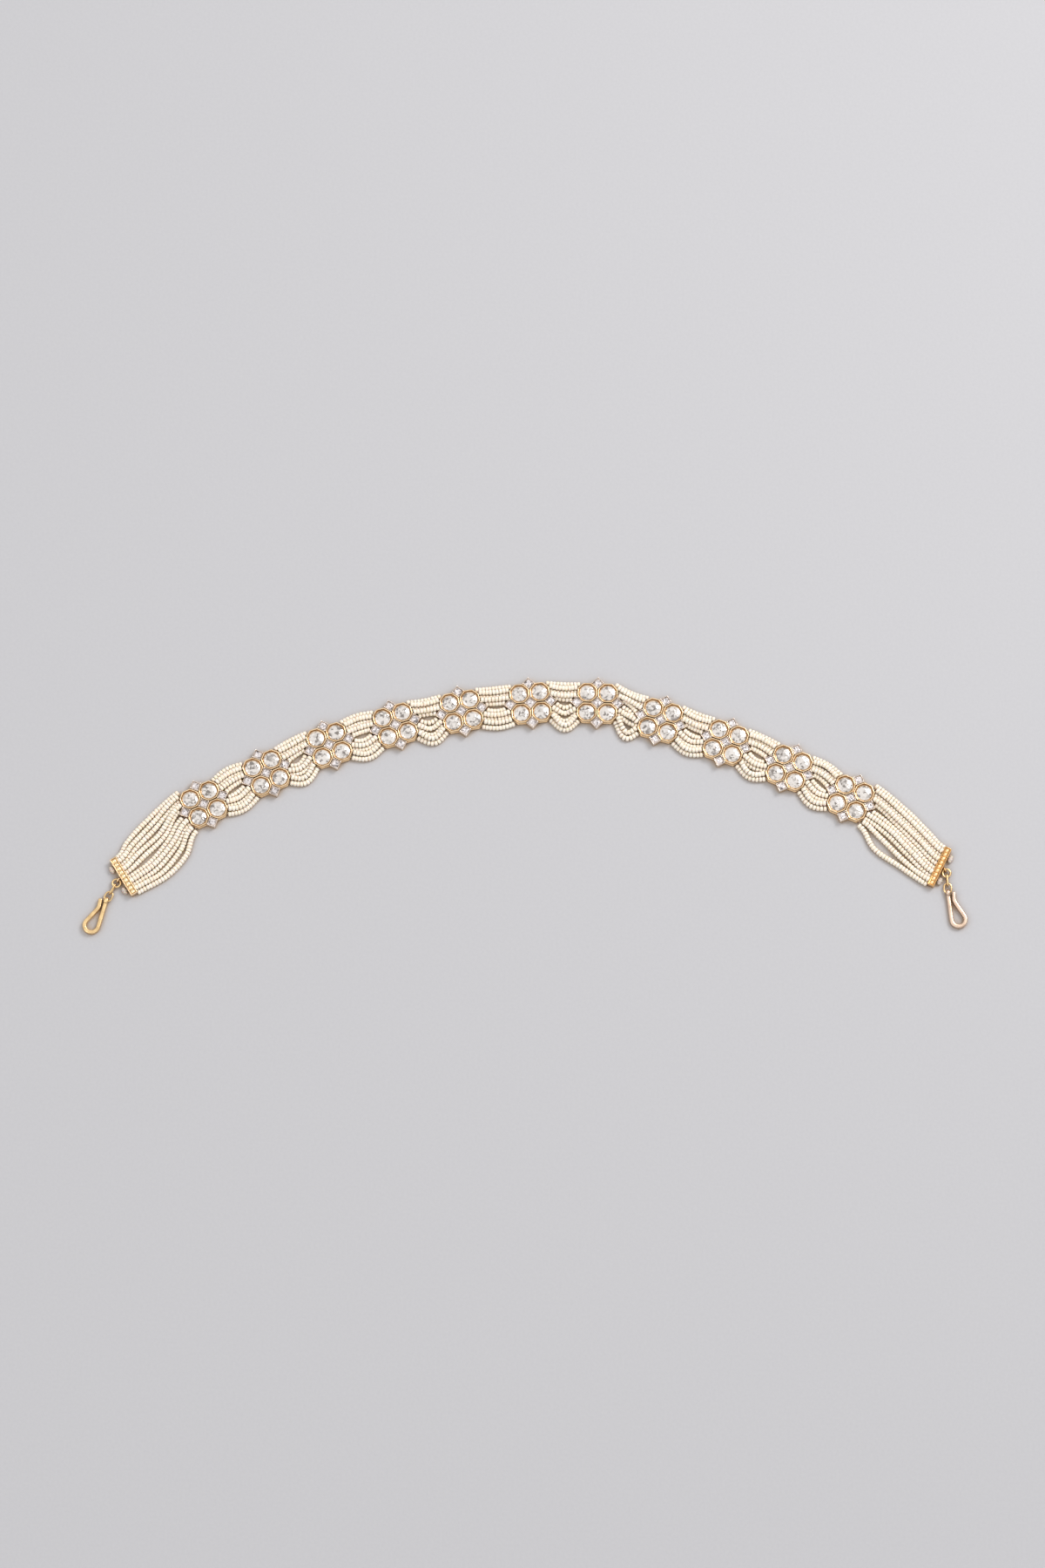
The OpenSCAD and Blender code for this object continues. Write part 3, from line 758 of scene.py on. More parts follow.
def paper_finish(name, tone, warm):
    """Plain matt paper with a painted shadow, warmed by a painted glow of the pearls, where they
    stand close around it.
    """
    material, nodes, at = new_finish(name)
    fibres = nodes.ranged(nodes.noise(at, 900.0, 2.0), 0.3, 0.7, 0.0, 0.04)
    paper = nodes.mixed(fibres, tone, PAPER_FIBRE)
    # Painted shadow, warmed by a painted glow from the pearls, where the ornament stands close
    # round the table
    lit = nodes.ranged(nodes.openness(3 * MM, samples=4), 0.2, 0.8, 0.0, 1.0)
    look = {"Base Color": nodes.mixed(lit, warm, paper), "Roughness": 0.9}
    return shaded(material, nodes, look)


# Meshes

# The angles, in degrees, from which an edge is rounded, and from which it looks sharp
ROUNDED_FROM = 32
BASE_SHARP = 40
SHARP = 50
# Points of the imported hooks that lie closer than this, in millimetres, become one
WELD = 0.005
# How much of a tube's heading may be height before its rings turn from another axis
UPRIGHT = 0.9


def new_piece(name, vertices, faces, edges=(), smooth=True):
    """An object at the origin with a mesh given in millimetres."""
    mesh = bpy.data.meshes.new(name)
    mesh.from_pydata([Vector(v) * MM for v in vertices], edges, faces, shade_flat=not smooth)
    mesh.update()
    piece = bpy.data.objects.new(name, mesh)
    bpy.context.scene.collection.objects.link(piece)
    return piece


def lofted(rings, capped=True):
    """Vertices and faces of rings joined from the first to the last."""
    n = len(rings[0])
    vertices = [v for ring in rings for v in ring]
    faces = []
    for j in range(len(rings) - 1):
        for s in range(n):
            a, b = j * n + s, j * n + (s + 1) % n
            faces.append((a, b, b + n, a + n))
    if capped:
        faces.append(tuple(range(n))[::-1])
        faces.append(tuple(range(len(vertices) - n, len(vertices))))
    return vertices, faces


def added(shapes):
    """One list of vertices and one of faces from several."""
    vertices, faces = [], []
    for more, sides in shapes:
        start = len(vertices)
        vertices += more
        faces += [tuple(start + v for v in side) for side in sides]
    return vertices, faces


def moved(shape, matrix):
    return [matrix @ Vector(v) for v in shape[0]], shape[1]


def polygon_ring(flat, z, sides, points, soft, first=0.0, rounded=0.0):
    """A ring round a regular polygon, with softened corners or rounded to a circle."""
    ring = []
    half = math.pi / sides
    for j in range(points):
        angle = 2 * math.pi * j / points
        off = (angle - first + half) % (2 * half) - half
        r = flat * min(1 / math.cos(off), soft)
        r += (flat - r) * rounded
        ring.append((r * math.cos(angle), r * math.sin(angle), z))
    return ring


def circle(radius, z, points):
    """A ring of points on a circle round the Z axis."""
    angles = (2 * math.pi * j / points for j in range(points))
    return [(radius * math.cos(a), radius * math.sin(a), z) for a in angles]


def ball(radius, middle, latitudes, points):
    """Rings round a ball, one at each latitude."""
    return [
        circle(radius * math.cos(a), radius * math.sin(a) + middle, points)
        for a in map(math.radians, latitudes)
    ]


def looped_tube(line, radius, sides):
    """A round tube along points in space, from the last one back to the first."""
    rings = []
    up = Vector((0, 0, 1))
    for j, p in enumerate(line):
        way = (line[(j + 1) % len(line)] - line[j - 1]).normalized()
        side = way.cross(up if abs(way.z) < UPRIGHT else Vector((1, 0, 0))).normalized()
        up = side.cross(way)
        rings.append([p + radius * (u * side + v * up) for u, v, _ in circle(1, 0, sides)])
    vertices, faces = lofted(rings + rings[:1], capped=False)
    n = sides * len(line)
    return vertices[:n], [tuple(v % n for v in face) for face in faces]


def edges_sharpened(piece, degrees=SHARP):
    """Shades the piece with a sharp edge wherever its faces meet at more than that angle."""
    piece.data.set_sharp_from_angle(angle=math.radians(degrees))
    return piece


def reworked(mesh, work):
    """Lets the work change the mesh's points and faces."""
    bm = bmesh.new()
    bm.from_mesh(mesh)
    work(bm)
    bm.to_mesh(mesh)
    bm.free()


def solid(name, shape, smooth=True):
    """A piece from vertices and faces, with every face turned outwards."""
    piece = new_piece(name, *shape, smooth=smooth)
    reworked(piece.data, lambda bm: bmesh.ops.recalc_face_normals(bm, faces=bm.faces))
    return piece


def noted(piece, name, kind, domain, values):
    """Stores a value for each point, edge or face of the piece."""
    piece.data.attributes.new(name, kind, domain).data.foreach_set("value", values)


def painted(piece, finish):
    """Gives the piece that finish alone."""
    piece.data.materials.clear()
    piece.data.materials.append(finish)


def worn(piece, slot, *nodes):
    """Makes the piece stand for the CAD nodes, on the ornament's one body."""
    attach(piece, "root")
    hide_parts(*nodes)


def channelled(piece, channels, rounding):
    """Cuts the threads' channels, given by two corners in plan, and rounds the edges."""
    shapes = []
    for (left, near), (right, far) in channels:
        outline = ((left, near), (right, near), (right, far), (left, far))
        heights = (CHANNEL_FLOOR, CHANNEL_FLOOR + CHANNEL_H)
        shapes.append(lofted([[(*corner, z) for corner in outline] for z in heights]))
    cutter = solid("cutter", added(shapes))
    channel = piece.modifiers.new("Channel", "BOOLEAN")
    set_up(channel, operation="DIFFERENCE", solver="EXACT", object=cutter)
    bevel = piece.modifiers.new("Rounding", "BEVEL")
    from_angle = math.radians(ROUNDED_FROM)
    set_up(bevel, limit_method="ANGLE", angle_limit=from_angle, width=rounding, segments=2)
    applied(piece)
    discarded(cutter)
    return piece


def softened(piece, grain, passes, fullness):
    """Melts the piece's edges over an even mesh of small faces, and lets its skin out."""
    remesh = piece.modifiers.new("Even mesh", "REMESH")
    set_up(remesh, mode="VOXEL", voxel_size=grain, use_smooth_shade=True)
    set_up(piece.modifiers.new("Soft edges", "SMOOTH"), iterations=passes)
    set_up(piece.modifiers.new("Fullness", "DISPLACE"), mid_level=0, strength=fullness)
    return applied(piece)


def discarded(*templates):
    for template in templates:
        bpy.data.objects.remove(template)


# The plaques' parts, round their own middles


def plaque_base(rounding):
    """The plaque's soldered base, with its two channels for the threads."""
    p, r = OCTAGON_PITCH, SQUARE_REACH
    quarter = ((p + r, 0), (p, r), (p, p - r), (p - r, p), (r, p))
    outline = [turned(point, 90 * q) for q in range(4) for point in quarter]
    rings = [[(*point, z) for point in outline] for z in (0, BASE_H)]
    base = solid("base", lofted(rings))
    reach = 2 * OCTAGON_PITCH
    channels = []
    for row in (UPPER, LOWER):
        low, high = sorted((row * CHANNEL_IN, row * CHANNEL_OUT))
        channels.append(((-reach, low), (reach, high)))
    return edges_sharpened(channelled(base, channels, rounding), BASE_SHARP)


def octagon_setting():
    """A tall octagonal rim, a groove, and a round bezel that holds the polki stone."""
    h = OCTAGON_WALL_H
    # How far in each point lies, then how far under the top on the rim, or how high in the
    # groove and on the bezel; in the groove also how round its ring is
    rim = ((0.03, 0.07), (0.08, 0.01), (0.2, 0), (0.34, 0.01), (0.4, 0.07), (0.43, 0.3))
    groove = ((0.45, 0.98, 0.05), (0.52, 0.86, 0.35), (0.6, 0.9, 0.7), (0.66, 1.06, 0.9))
    bezel = ((0.72, 1.14), (BEZEL_IN, 1.13), (0.85, 1.04), (0.86, 0.3))
    profile = [(0, -0.06, 0), (0, h - 0.24, 0)]
    profile += [(inset, h - under, 0) for inset, under in rim]
    profile += [*groove, *((inset, z, 1) for inset, z in bezel)]
    rings = [
        polygon_ring(COLLET / 2 - inset, z + BASE_H, sides=8, points=48, soft=1.066, rounded=w)
        for inset, z, w in profile
    ]
    return edges_sharpened(solid("octagon_setting", lofted(rings)))


def square_setting():
    """A thin square wall on its corner, with a rounded prong at each corner."""
    f, h = SQUARE_SIDE / 2, SQUARE_WALL_H
    # How far in from the flats, as shares of the lip's width, and how far under the top
    rim = ((0, 0.12), (0.2, 0.03), (0.5, 0), (0.8, 0.03), (1, 0.12))
    profile = [(f, -0.06), *((f - inward * SQUARE_LIP, h - under) for inward, under in rim)]
    profile += [(f - SQUARE_LIP, 0.9), (f - SQUARE_LIP - 0.2, 0.2)]
    shape = {"sides": 4, "points": 32, "soft": 1.37, "first": math.pi / 4}
    wall = lofted([polygon_ring(r, z + BASE_H, **shape) for r, z in profile])
    top = h + PRONG_H
    # How wide a prong is, as a share, and how high
    ends = ((1, 0), (1, top - 0.22), (0.86, top - 0.09), (0.55, top - 0.01))
    prong = lofted([circle(PRONG_R * width, z + BASE_H, 10) for width, z in ends])
    out = Matrix.Translation((SQUARE_SIDE / math.sqrt(2) - PRONG_R, 0, 0))
    prongs = [moved(prong, Matrix.Rotation(math.pi / 2 * q, 4, "Z") @ out) for q in range(4)]
    return edges_sharpened(solid("square_setting", added([wall, *prongs])))


def mounted(tree, name, places, parts, finishes, numbers):
    """A body and the parts at their places on it, as one piece."""
    piece = new_piece(name, [(*at, 0) for _, at in places], [])
    noted(piece, "kind", "INT", "POINT", [kind for kind, _ in places])
    values = dict(zip((*PARTS, *FINISHES, *NUMBERS), (*parts, *finishes, *numbers)))
    return grown(piece, tree, values)


OCTAGONS = [Vector(at) * OCTAGON_PITCH / 2 for at in ((-1, -1), (-1, 1), (1, -1), (1, 1))]
SQUARES = [Vector(at) * OCTAGON_PITCH for at in ((0, 0), (1, 0), (-1, 0), (0, 1), (0, -1))]


# How far a polki stone's points stray: round its axis, outwards, downwards and upwards
STRAY_ROUND = 1.6
STRAY_OUT = 0.6
STRAY_DOWN = 0.05
STRAY_UP = 0.03


def polki_stone(draw, uneven):
    """An uncut stone: a flat bed, a round girdle and an irregular faceted dome."""
    r = COLLET / 2 - BEZEL_IN
    # Points on each level, its radius and height, and how far its points stray
    levels = (
        (8, r * 0.85, 0.12, 0.0),
        (16, r, 0.96, 0.03),
        (9, r * 0.74, 1.3, 0.5),
        (6, r * 0.4, 1.5, 0.9),
        (1, 0.0, POLKI_H - 0.04, 1.4),
    )
    bm = bmesh.new()
    for count, radius, z, stray in levels:
        first = draw.uniform(0, 2 * math.pi)
        for j in range(count):
            step = j + draw.uniform(-1, 1) * stray * uneven * STRAY_ROUND
            angle = first + 2 * math.pi * step / count
            reach = radius + r * uneven * stray * draw.uniform(-STRAY_OUT, STRAY_OUT)
            lift = z + (draw.uniform(-STRAY_DOWN, STRAY_UP) * stray if stray else 0)
            bm.verts.new((reach * math.cos(angle), reach * math.sin(angle), lift + BASE_H))
    hull = bmesh.ops.convex_hull(bm, input=bm.verts)
    inside = [v for v in hull["geom_interior"] if isinstance(v, bmesh.types.BMVert)]
    bmesh.ops.delete(bm, geom=inside, context="VERTS")
    bm.verts.index_update()
    shape = [v.co.copy() for v in bm.verts], [tuple(v.index for v in f.verts) for f in bm.faces]
    bm.free()
    return shape


def square_stone():
    """A square stone on its corner: a crown, and the crossed facets seen through its table."""
    half = SQUARE_SIDE / 2 - SQUARE_LIP - STONE_CLEAR / 2
    corner = half * math.sqrt(2)
    # How far each level reaches and how high it lies, at its corners and at its sides
    levels = (
        ((corner * 0.7, 0.1), (half * 0.7, 0.1)),
        ((corner * 0.96, 0.98), (half, 1.0)),
        ((corner * 0.66, SQUARE_H - 0.12), (half * 0.72, SQUARE_H - 0.05)),
        ((corner * 0.36, SQUARE_H - 0.02), (half * 0.3, SQUARE_H - 0.1)),
    )
    rings = [
        [(*(reach * heading(45 * j)), z + BASE_H) for j, (reach, z) in enumerate(4 * level)]
        for level in levels
    ]
    vertices, quads = lofted(rings, capped=False)
    vertices.append((0, 0, SQUARE_H - 0.16 + BASE_H))
    centre, top = len(vertices) - 1, 8 * (len(levels) - 1)
    faces = []
    for number, (a, b, c, d) in enumerate(quads):
        faces += [(a, b, c), (a, c, d)] if number % 2 else [(a, b, d), (b, c, d)]
    faces += [(top + s, top + (s + 1) % 8, centre) for s in range(8)]
    faces.append(tuple(range(8))[::-1])
    return vertices, faces


def on_each(k, at, shape, spin):
    """A shape, spun and moved to a place on a plaque."""
    turn = Matrix.Rotation(math.radians(plaque_turn(k)), 4, "Z")
    there = Matrix.Translation((*plaque_at(k), 0)) @ turn @ Matrix.Translation((*at, 0))
    return moved(shape, there @ Matrix.Rotation(spin, 4, "Z"))


def stones_set(places, drawn, finish, seed, names):
    """Sets every plaque's stones of one kind, each with a shape and a spin drawn for it."""
    name, slot, node = names
    for k in range(1, PLAQUES + 1):
        draw = random.Random(seed + k)
        shapes = [on_each(k, at, *drawn(draw)) for at in places]
        stones = solid(f"{name}_{k}", added(shapes), smooth=False)
        noted(stones, "facet", "FLOAT", "FACE", [draw.random() for _ in stones.data.polygons])
        painted(stones, finish)
        worn(stones, slot, f"{node}_{k}")


def chosen(context):
    """The sizes and the colours that are set in the sidebar."""
    return context.scene.ornament_sizes, context.scene.ornament_colours


class ORNAMENT_OT_gild_plaques(bpy.types.Operator):
    """Make the gold plaques with their octagonal and square settings"""

    bl_idname = "ornament.gild_plaques"
    bl_label = "Gold Plaques"

    def execute(self, context):
        sizes, tints = chosen(context)
        # The second colour of each gold finish is its painted shade in the recesses
        gold = gold_finish("polished_gold", tints.gold, tints.gold_shade_and_patches, roughness=0.25)
        pale = gold_finish("pale_gold", tints.pale_gold, tints.pale_gold_shade_and_patches, roughness=0.14)
        parts = plaque_base(sizes.rounding), octagon_setting(), square_setting()
        tree = mounting_tree()
        for k in range(1, PLAQUES + 1):
            turn = math.radians(plaque_turn(k))
            numbers = (turn, sizes.rim_uneven, sizes.rim_grain, float(sizes.seed + k))
            places = [(0, plaque_at(k))]
            places += [(1, on_plaque(k, *at)) for at in OCTAGONS]
            places += [(2, on_plaque(k, *at)) for at in SQUARES]
            finishes = (gold, gold, pale)
            plaque = mounted(tree, f"gold_plaque_{k}", places, parts, finishes, numbers)
            worn(plaque, "gold", f"plaque_{k}")
        discarded(*parts)
        return {"FINISHED"}


class ORNAMENT_OT_set_polki_stones(bpy.types.Operator):
    """Set the uncut stones in the octagonal settings"""

    bl_idname = "ornament.set_polki_stones"
    bl_label = "Polki Stones"

    def execute(self, context):
        sizes, tints = chosen(context)
        look = {"light": tints.polki, "shade": tints.polki_shade, "grain": 900.0, "foil": 0.5}
        finish = stone_finish("polki_stone", **look)

        def drawn(draw):
            return polki_stone(draw, sizes.polki_uneven), 0

        names = ("polki", "polki", "polki_stones")
        stones_set(OCTAGONS, drawn, finish, POLKI_SEEDS * sizes.seed, names)
        return {"FINISHED"}


class ORNAMENT_OT_set_square_stones(bpy.types.Operator):
    """Set the small square stones between the octagonal settings"""

    bl_idname = "ornament.set_square_stones"
    bl_label = "Square Stones"

    def execute(self, context):
        sizes, tints = chosen(context)
        look = {"light": tints.square, "shade": tints.square_shade, "grain": 1500.0, "foil": 0.2}
        finish = stone_finish("square_stone", **look)

        def drawn(draw):
            return square_stone(), math.pi / 2 * draw.randrange(4)

        names = ("squares", "clear_stone", "square_stones")
        stones_set(SQUARES, drawn, finish, SQUARE_SEEDS * sizes.seed, names)
        return {"FINISHED"}


def seed_pearl(diameter, along):
    """A squat round pearl with a drilled hole, its thread along Z."""
    r, h = diameter / 2 / MM, along / 2 / MM
    # Its width and height from one end to its middle, as shares of its radius and half length
    end = ((0.12, 0.8), (0.4, 1), (0.78, 0.9), (0.95, 0.58))
    profile = [*((wide, -high) for wide, high in end), (1, 0), *end[::-1]]
    rings = [circle(r * wide, h * high, 12) for wide, high in profile]
    return solid("seed_pearl", lofted(rings))


def route_mesh(name, stretches):
    """A route as joined edges, each of which says whether pearls are strung on it."""
    points, strung = [], []
    for beaded, line in stretches:
        strung += [False] if points else []
        points += line
        strung += [beaded] * (len(line) - 1)
    piece = new_piece(name, points, [], [(j, j + 1) for j in range(len(points) - 1)])
    noted(piece, "strung", "BOOLEAN", "EDGE", strung)
    return piece


class ORNAMENT_OT_string_pearls(bpy.types.Operator):
    """String the seed pearls between the plaques and out to the bars"""

    bl_idname = "ornament.string_pearls"
    bl_label = "Pearl Strands"

    def execute(self, context):
        sizes, tints = chosen(context)
        finish = pearl_finish("seed_pearl", tints.pearl, tints.pearl_shade, tints.pearl_crowd_shade)
        pearl = seed_pearl(sizes.pearl, sizes.pearl_length)
        values = {
            "Pearl": pearl,
            "Pitch": sizes.pearl_pitch,
            "Unevenness": sizes.pearl_uneven,
            "Thread": sizes.thread,
            "Pearl finish": finish,
            "Thread finish": thread_finish("pearl_thread", tints.thread),
        }
        tree = stringing_tree()
        room, touch = sizes.pearl_room / MM, sizes.pearl_apart / MM
        for label, row in ROWS:
            for i in range(STRANDS):
                number = i + 1
                stretches = strand_stretches(row, i, room, touch)
                strand = route_mesh(f"pearls_{label}_{number}", stretches)
                seed = sizes.seed + STRAND_SEEDS * number + (row == UPPER)
                grown(strand, tree, {**values, "Seed": seed})
                worn(strand, "pearl", f"{label}_strand_{number}")
        discarded(pearl)
        return {"FINISHED"}


def rounded_rectangle(width, depth, z, corner, steps=4):
    """A ring round a rectangle with rounded corners."""
    ring = []
    for q, (x, y) in enumerate(((1, 1), (-1, 1), (-1, -1), (1, -1))):
        centre = Vector((x * (width / 2 - corner), y * (depth / 2 - corner)))
        for s in range(steps + 1):
            ring.append((*(centre + corner * heading(90 * (q + s / steps))), z))
    return ring


def bar_body(side, rounding):
    """An end bar with a raised rim, its thread channel and a soldered eye."""
    # How far in from the edge and how far under the top, over the rim and down to the studs
    rim = ((0, 0.22), (0.03, 0.09), (0.1, 0.02), (0.2, 0), (0.3, 0.03), (0.37, 0.12))
    sink = ((BAR_RIM, 0.3), (BAR_RIM + 0.02, BAR_SINK))
    profile = [(0, 0), *((inset, BAR_H - under) for inset, under in (*rim, *sink))]
    rings = [
        rounded_rectangle(BAR_WIDTH - 2 * inset, BAR_LENGTH - 2 * inset, z, BAR_CORNER - inset)
        for inset, z in profile
    ]
    body = solid(f"bar_body_{side}", lofted(rings))
    channelled(body, [((-BAR_WIDTH, -BAR_CHANNEL), (BAR_WIDTH, BAR_CHANNEL))], rounding / 2)

    turn = math.radians(RING_HEADINGS[side] - bar_facing(side))
    out = BAR_WIDTH / 2 + EYE_R * math.cos(turn)
    across = Vector((math.cos(turn), math.sin(turn), 0))
    middle = Vector((out, 0, CHAIN_Z))
    wire = [middle + u * across + Vector((0, 0, v)) for u, v, _ in circle(EYE_R, 0, 32)]
    eye = solid("eye", looped_tube(wire, LINK_WIRE / 2, sides=10))
    reworked(body.data, lambda bm: bm.from_mesh(eye.data))
    discarded(eye)
    return edges_sharpened(body)


def bar_stud(pitch):
    """A domed square stud."""
    half = pitch * STUD_SHARE
    # How wide the dome is, as a share, and how high over the bed
    dome = ((1, -0.05), (1, 0.04), (0.8, 0.22), (0.5, 0.38), (0.2, 0.46))
    shape = {"sides": 4, "points": 16, "soft": 1.3}
    rings = [polygon_ring(half * r, z + BAR_H - BAR_SINK, **shape) for r, z in dome]
    return edges_sharpened(solid("bar_stud", lofted(rings)))


def bar_grain():
    """A small grain of gold."""
    middle = BAR_H - BAR_SINK + GRAIN_LIFT
    rings = ball(GRAIN_R, middle, latitudes=range(-70, 71, 35), points=8)
    return solid("bar_grain", lofted(rings))


class ORNAMENT_OT_add_end_bars(bpy.types.Operator):
    """Make the end bars with their rims, studs, grains and eyes"""

    bl_idname = "ornament.add_end_bars"
    bl_label = "End Bars"

    def execute(self, context):
        sizes, tints = chosen(context)
        polished = bpy.data.materials["polished_gold"]
        # The second colour of each gold finish is its painted shade in the recesses: plain gold
        # under the left studs' bright gold, amber under the right studs' bright amber
        bright = gold_finish("bright_gold", tints.bright_gold, tints.gold, roughness=0.17)
        amber = gold_finish("amber_gold", tints.amber_gold, tints.gold_shade_and_patches, roughness=0.13)
        light, shade_colour = tints.bright_amber_gold, tints.amber_gold
        bright_amber = gold_finish("bright_amber_gold", light, shade_colour, roughness=0.34)
        finishes = ((polished, bright, polished), (amber, bright_amber, amber))
        tree = mounting_tree()
        pitch = (BAR_LENGTH - 2 * BAR_RIM) / STUDS
        stud, grain = bar_stud(pitch), bar_grain()
        for side, label in enumerate(SIDES):
            turn = math.radians(bar_facing(side))
            seed = float(sizes.seed + BAR_SEEDS + side)
            numbers = (turn, sizes.bar_uneven, sizes.rim_grain, seed)
            places = [(0, bar_at(side))]
            for q in range(STUDS):
                along = (q + 0.5) * pitch + BAR_RIM - BAR_LENGTH / 2
                places.append((1, at_bar(side, 0, along)))
                if q:
                    for out in (-GRAIN_OUT, GRAIN_OUT):
                        places.append((2, at_bar(side, out, along - pitch / 2)))
            body = bar_body(side, sizes.rounding)
            parts = (body, stud, grain)
            bar = mounted(tree, f"gold_bar_{label}", places, parts, finishes[side], numbers)
            worn(bar, "gold", f"end_bar_{label}")
            discarded(body)
        discarded(stud, grain)
        return {"FINISHED"}


def wound_knot(draw):
    """A ball of thread wound over itself, as points of one closed winding."""
    r, steps = KNOT_D / 2 - KNOT_THREAD_R, 260
    tilt = draw.uniform(0, math.pi)
    line = []
    for j in range(steps):
        t = 2 * math.pi * j / steps
        polar = math.pi / 2 + KNOT_SWING * math.sin(2 * t + tilt)
        reach = r * (1 - KNOT_WANDER + KNOT_WANDER * math.sin(5 * t + tilt))
        flat = math.sin(polar) * heading(math.degrees(KNOT_TURNS * t))
        line.append(reach * Vector((*flat, math.cos(polar))))
    return line


class ORNAMENT_OT_tie_thread_knots(bpy.types.Operator):
    """Tie the wound thread knots behind the bars"""

    bl_idname = "ornament.tie_thread_knots"
    bl_label = "Thread Knots"

    def execute(self, context):
        sizes, tints = chosen(context)
        finish = thread_finish("knot_thread", tints.thread)
        for side, label in enumerate(SIDES):
            draw = random.Random(KNOT_SEEDS * sizes.seed + side)
            shapes = []
            for place in KNOT_PLACES:
                at = at_bar(side, BAR_WIDTH / 2 + KNOT_D / 2, BAR_LENGTH * place)
                there = Matrix.Translation((*at, KNOT_D / 2))
                there @= Matrix.Rotation(math.radians(bar_facing(side)), 4, "Z")
                there @= Matrix.Diagonal((1, KNOT_STRETCH, 1, 1))
                there @= Matrix.Rotation(math.pi / 2, 4, "X")
                winding = looped_tube(wound_knot(draw), KNOT_THREAD_R, sides=6)
                core = lofted(ball(KNOT_CORE_R, 0, latitudes=range(-75, 76, 25), points=12))
                shapes += [moved(winding, there), moved(core, there)]
            knots = solid(f"wound_knots_{label}", added(shapes))
            painted(knots, finish)
            worn(knots, "thread", f"thread_knots_{label}")
        return {"FINISHED"}


class ORNAMENT_OT_polish_links(bpy.types.Operator):
    """Polish the jump rings and the links"""

    bl_idname = "ornament.polish_links"
    bl_label = "Rings and Links"

    def execute(self, context):
        _, tints = chosen(context)
        # The second colour is the gold's painted shade in its recesses
        light, shade_colour = tints.bright_amber_gold, tints.gold_shade_and_patches
        finish = gold_finish("wire_gold", light, shade_colour, roughness=0.25)
        for label in SIDES:
            for node in ("jump_ring", "upright_link", "oval_link"):
                painted(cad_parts[f"{node}_{label}"], finish)
        return {"FINISHED"}


class ORNAMENT_OT_polish_hooks(bpy.types.Operator):
    """Make the flat strip hooks with their edges rounded"""

    bl_idname = "ornament.polish_hooks"
    bl_label = "Hooks"

    def execute(self, context):
        sizes, tints = chosen(context)
        tones = (tints.bright_amber_gold, tints.rose_gold)
        for label, light, slot in zip(SIDES, tones, ("gold", "rose_gold")):
            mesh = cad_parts[f"hook_{label}"].data.copy()
            reworked(
                mesh, lambda bm: bmesh.ops.remove_doubles(bm, verts=bm.verts, dist=WELD * MM)
            )
            hook = bpy.data.objects.new(f"strip_hook_{label}", mesh)
            context.scene.collection.objects.link(hook)
            softened(hook, sizes.hook_grain, sizes.hook_softness, sizes.hook_fullness)
            for vertex in hook.data.vertices:
                vertex.co.z = max(0, vertex.co.z)
            # The second colour is the hook's painted shade in its recesses
            finish = gold_finish(f"hook_gold_{label}", light, tints.gold_shade_and_patches, roughness=0.3)
            painted(hook, finish)
            worn(hook, slot, f"hook_{label}")
        return {"FINISHED"}


def area_light(name, watts, size, place):
    light = bpy.data.lights.new(name, "AREA")
    set_up(light, energy=watts, shape="RECTANGLE", size=size[0], size_y=size[1])
    lamp = bpy.data.objects.new(name, light)
    lamp.location = place
    lamp.rotation_euler = (LAMPS_AIM - Vector(place)).to_track_quat("-Z", "Y").to_euler()
    bpy.context.scene.collection.objects.link(lamp)


# The table's half size and how far it lies under the ornament, in millimetres
TABLE_HALF = 1500
TABLE_DROP = 0.03
# The table point in the middle of the picture, and the lamps' sizes, places and aim, in metres
VIEW_MIDDLE = Vector((-1.0, 9.2, 0)) * MM
KEY_LAMP = ((0.5, 0.5), (0.75, 0.65, 1.1))
FILL_LAMP = ((0.9, 0.5), (-0.9, -0.5, 1.0))
LAMPS_AIM = Vector((0, 0.03, 0))
# The height of the camera's sensor, in millimetres
SENSOR = 36
# The sky's tone at the horizon, and the height, as a sine, from which it is full
HORIZON = (0.3, 0.3, 0.31)
FULL_SKY = 0.6


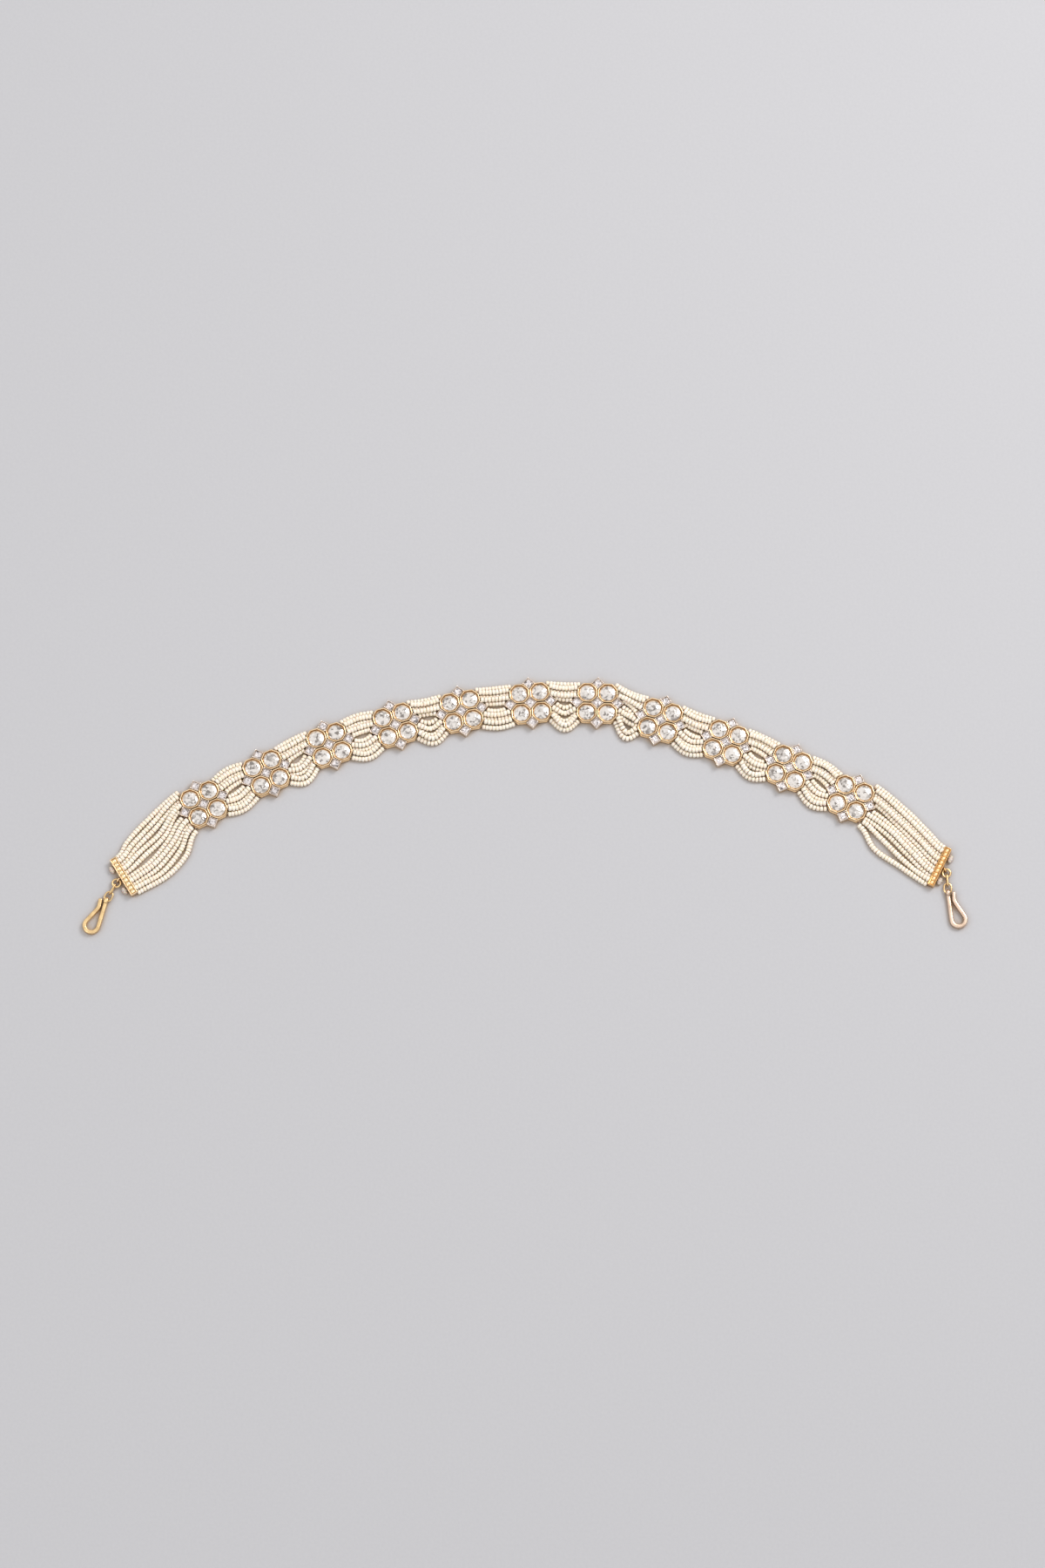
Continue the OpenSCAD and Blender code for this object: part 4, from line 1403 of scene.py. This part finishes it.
class ORNAMENT_OT_set_stage(bpy.types.Operator):
    """Set the table, the soft light and the camera"""

    bl_idname = "ornament.set_stage"
    bl_label = "Stage"

    def execute(self, context):
        stage, tints = context.scene.ornament_stage, context.scene.ornament_colours
        corners = [
            (x * TABLE_HALF, y * TABLE_HALF, -TABLE_DROP)
            for x, y in ((-1, -1), (1, -1), (1, 1), (-1, 1))
        ]
        floor = new_piece("table", corners, [(0, 1, 2, 3)])
        painted(floor, paper_finish("table_paper", tints.floor, tints.floor_warm_shade))

        world = bpy.data.worlds.new("studio")
        world.use_nodes = True
        world.node_tree.nodes.clear()
        nodes = Nodes(world.node_tree)
        way = nodes.out("ShaderNodeTexCoord", output="Generated")
        height = nodes.out("ShaderNodeSeparateXYZ", {"Vector": way}, "Z")
        risen = nodes.ranged(height, 0.0, FULL_SKY, 0.0, 1.0)
        tone = nodes.mixed(risen, HORIZON, (1, 1, 1))
        sky = nodes.out("ShaderNodeBackground", {"Color": tone, "Strength": stage.sky})
        nodes.add("ShaderNodeOutputWorld", {"Surface": sky})
        context.scene.world = world
        area_light("key", stage.key, *KEY_LAMP)
        area_light("fill", stage.fill, *FILL_LAMP)

        camera = bpy.data.cameras.new("camera")
        set_up(camera, sensor_fit="VERTICAL", sensor_height=SENSOR, clip_end=10)
        camera.lens = SENSOR * stage.distance / stage.view_height
        eye = bpy.data.objects.new("camera", camera)
        back = Vector((0, -math.cos(stage.elevation), math.sin(stage.elevation)))
        eye.location = VIEW_MIDDLE + stage.distance * back
        eye.rotation_euler = (math.pi / 2 - stage.elevation, 0, 0)
        context.scene.collection.objects.link(eye)
        context.scene.camera = eye
        context.scene.view_settings.view_transform = "Standard"
        return {"FINISHED"}


class ORNAMENT_PT_pieces(bpy.types.Panel):
    """The ornament's pieces, sizes and colours"""

    bl_idname = "ORNAMENT_PT_pieces"
    bl_label = "Head Ornament"
    bl_space_type = "VIEW_3D"
    bl_region_type = "UI"
    bl_category = "Ornament"

    def draw(self, context):
        for operator in OPERATORS:
            self.layout.operator(operator.bl_idname)
        for group in GROUPS:
            values = getattr(context.scene, group)
            box = self.layout.box()
            for name in type(values).__annotations__:
                box.prop(values, name)


OPERATORS = (
    ORNAMENT_OT_set_stage,
    ORNAMENT_OT_gild_plaques,
    ORNAMENT_OT_set_polki_stones,
    ORNAMENT_OT_set_square_stones,
    ORNAMENT_OT_string_pearls,
    ORNAMENT_OT_add_end_bars,
    ORNAMENT_OT_tie_thread_knots,
    ORNAMENT_OT_polish_links,
    ORNAMENT_OT_polish_hooks,
)
GROUPS = {
    "ornament_sizes": OrnamentSizes,
    "ornament_colours": OrnamentColours,
    "ornament_stage": OrnamentStage,
}
CLASSES = (*GROUPS.values(), *OPERATORS, ORNAMENT_PT_pieces)


def register():
    for cls in CLASSES:
        bpy.utils.register_class(cls)
    for name, group in GROUPS.items():
        setattr(bpy.types.Scene, name, PointerProperty(type=group))


def unregister():
    for name in GROUPS:
        delattr(bpy.types.Scene, name)
    for cls in reversed(CLASSES):
        bpy.utils.unregister_class(cls)


def main():
    register()
    bpy.ops.ornament.set_stage()
    bpy.ops.ornament.gild_plaques()
    bpy.ops.ornament.set_polki_stones()
    bpy.ops.ornament.set_square_stones()
    bpy.ops.ornament.string_pearls()
    bpy.ops.ornament.add_end_bars()
    bpy.ops.ornament.tie_thread_knots()
    bpy.ops.ornament.polish_links()
    bpy.ops.ornament.polish_hooks()


if __name__ == "__main__":
    main()
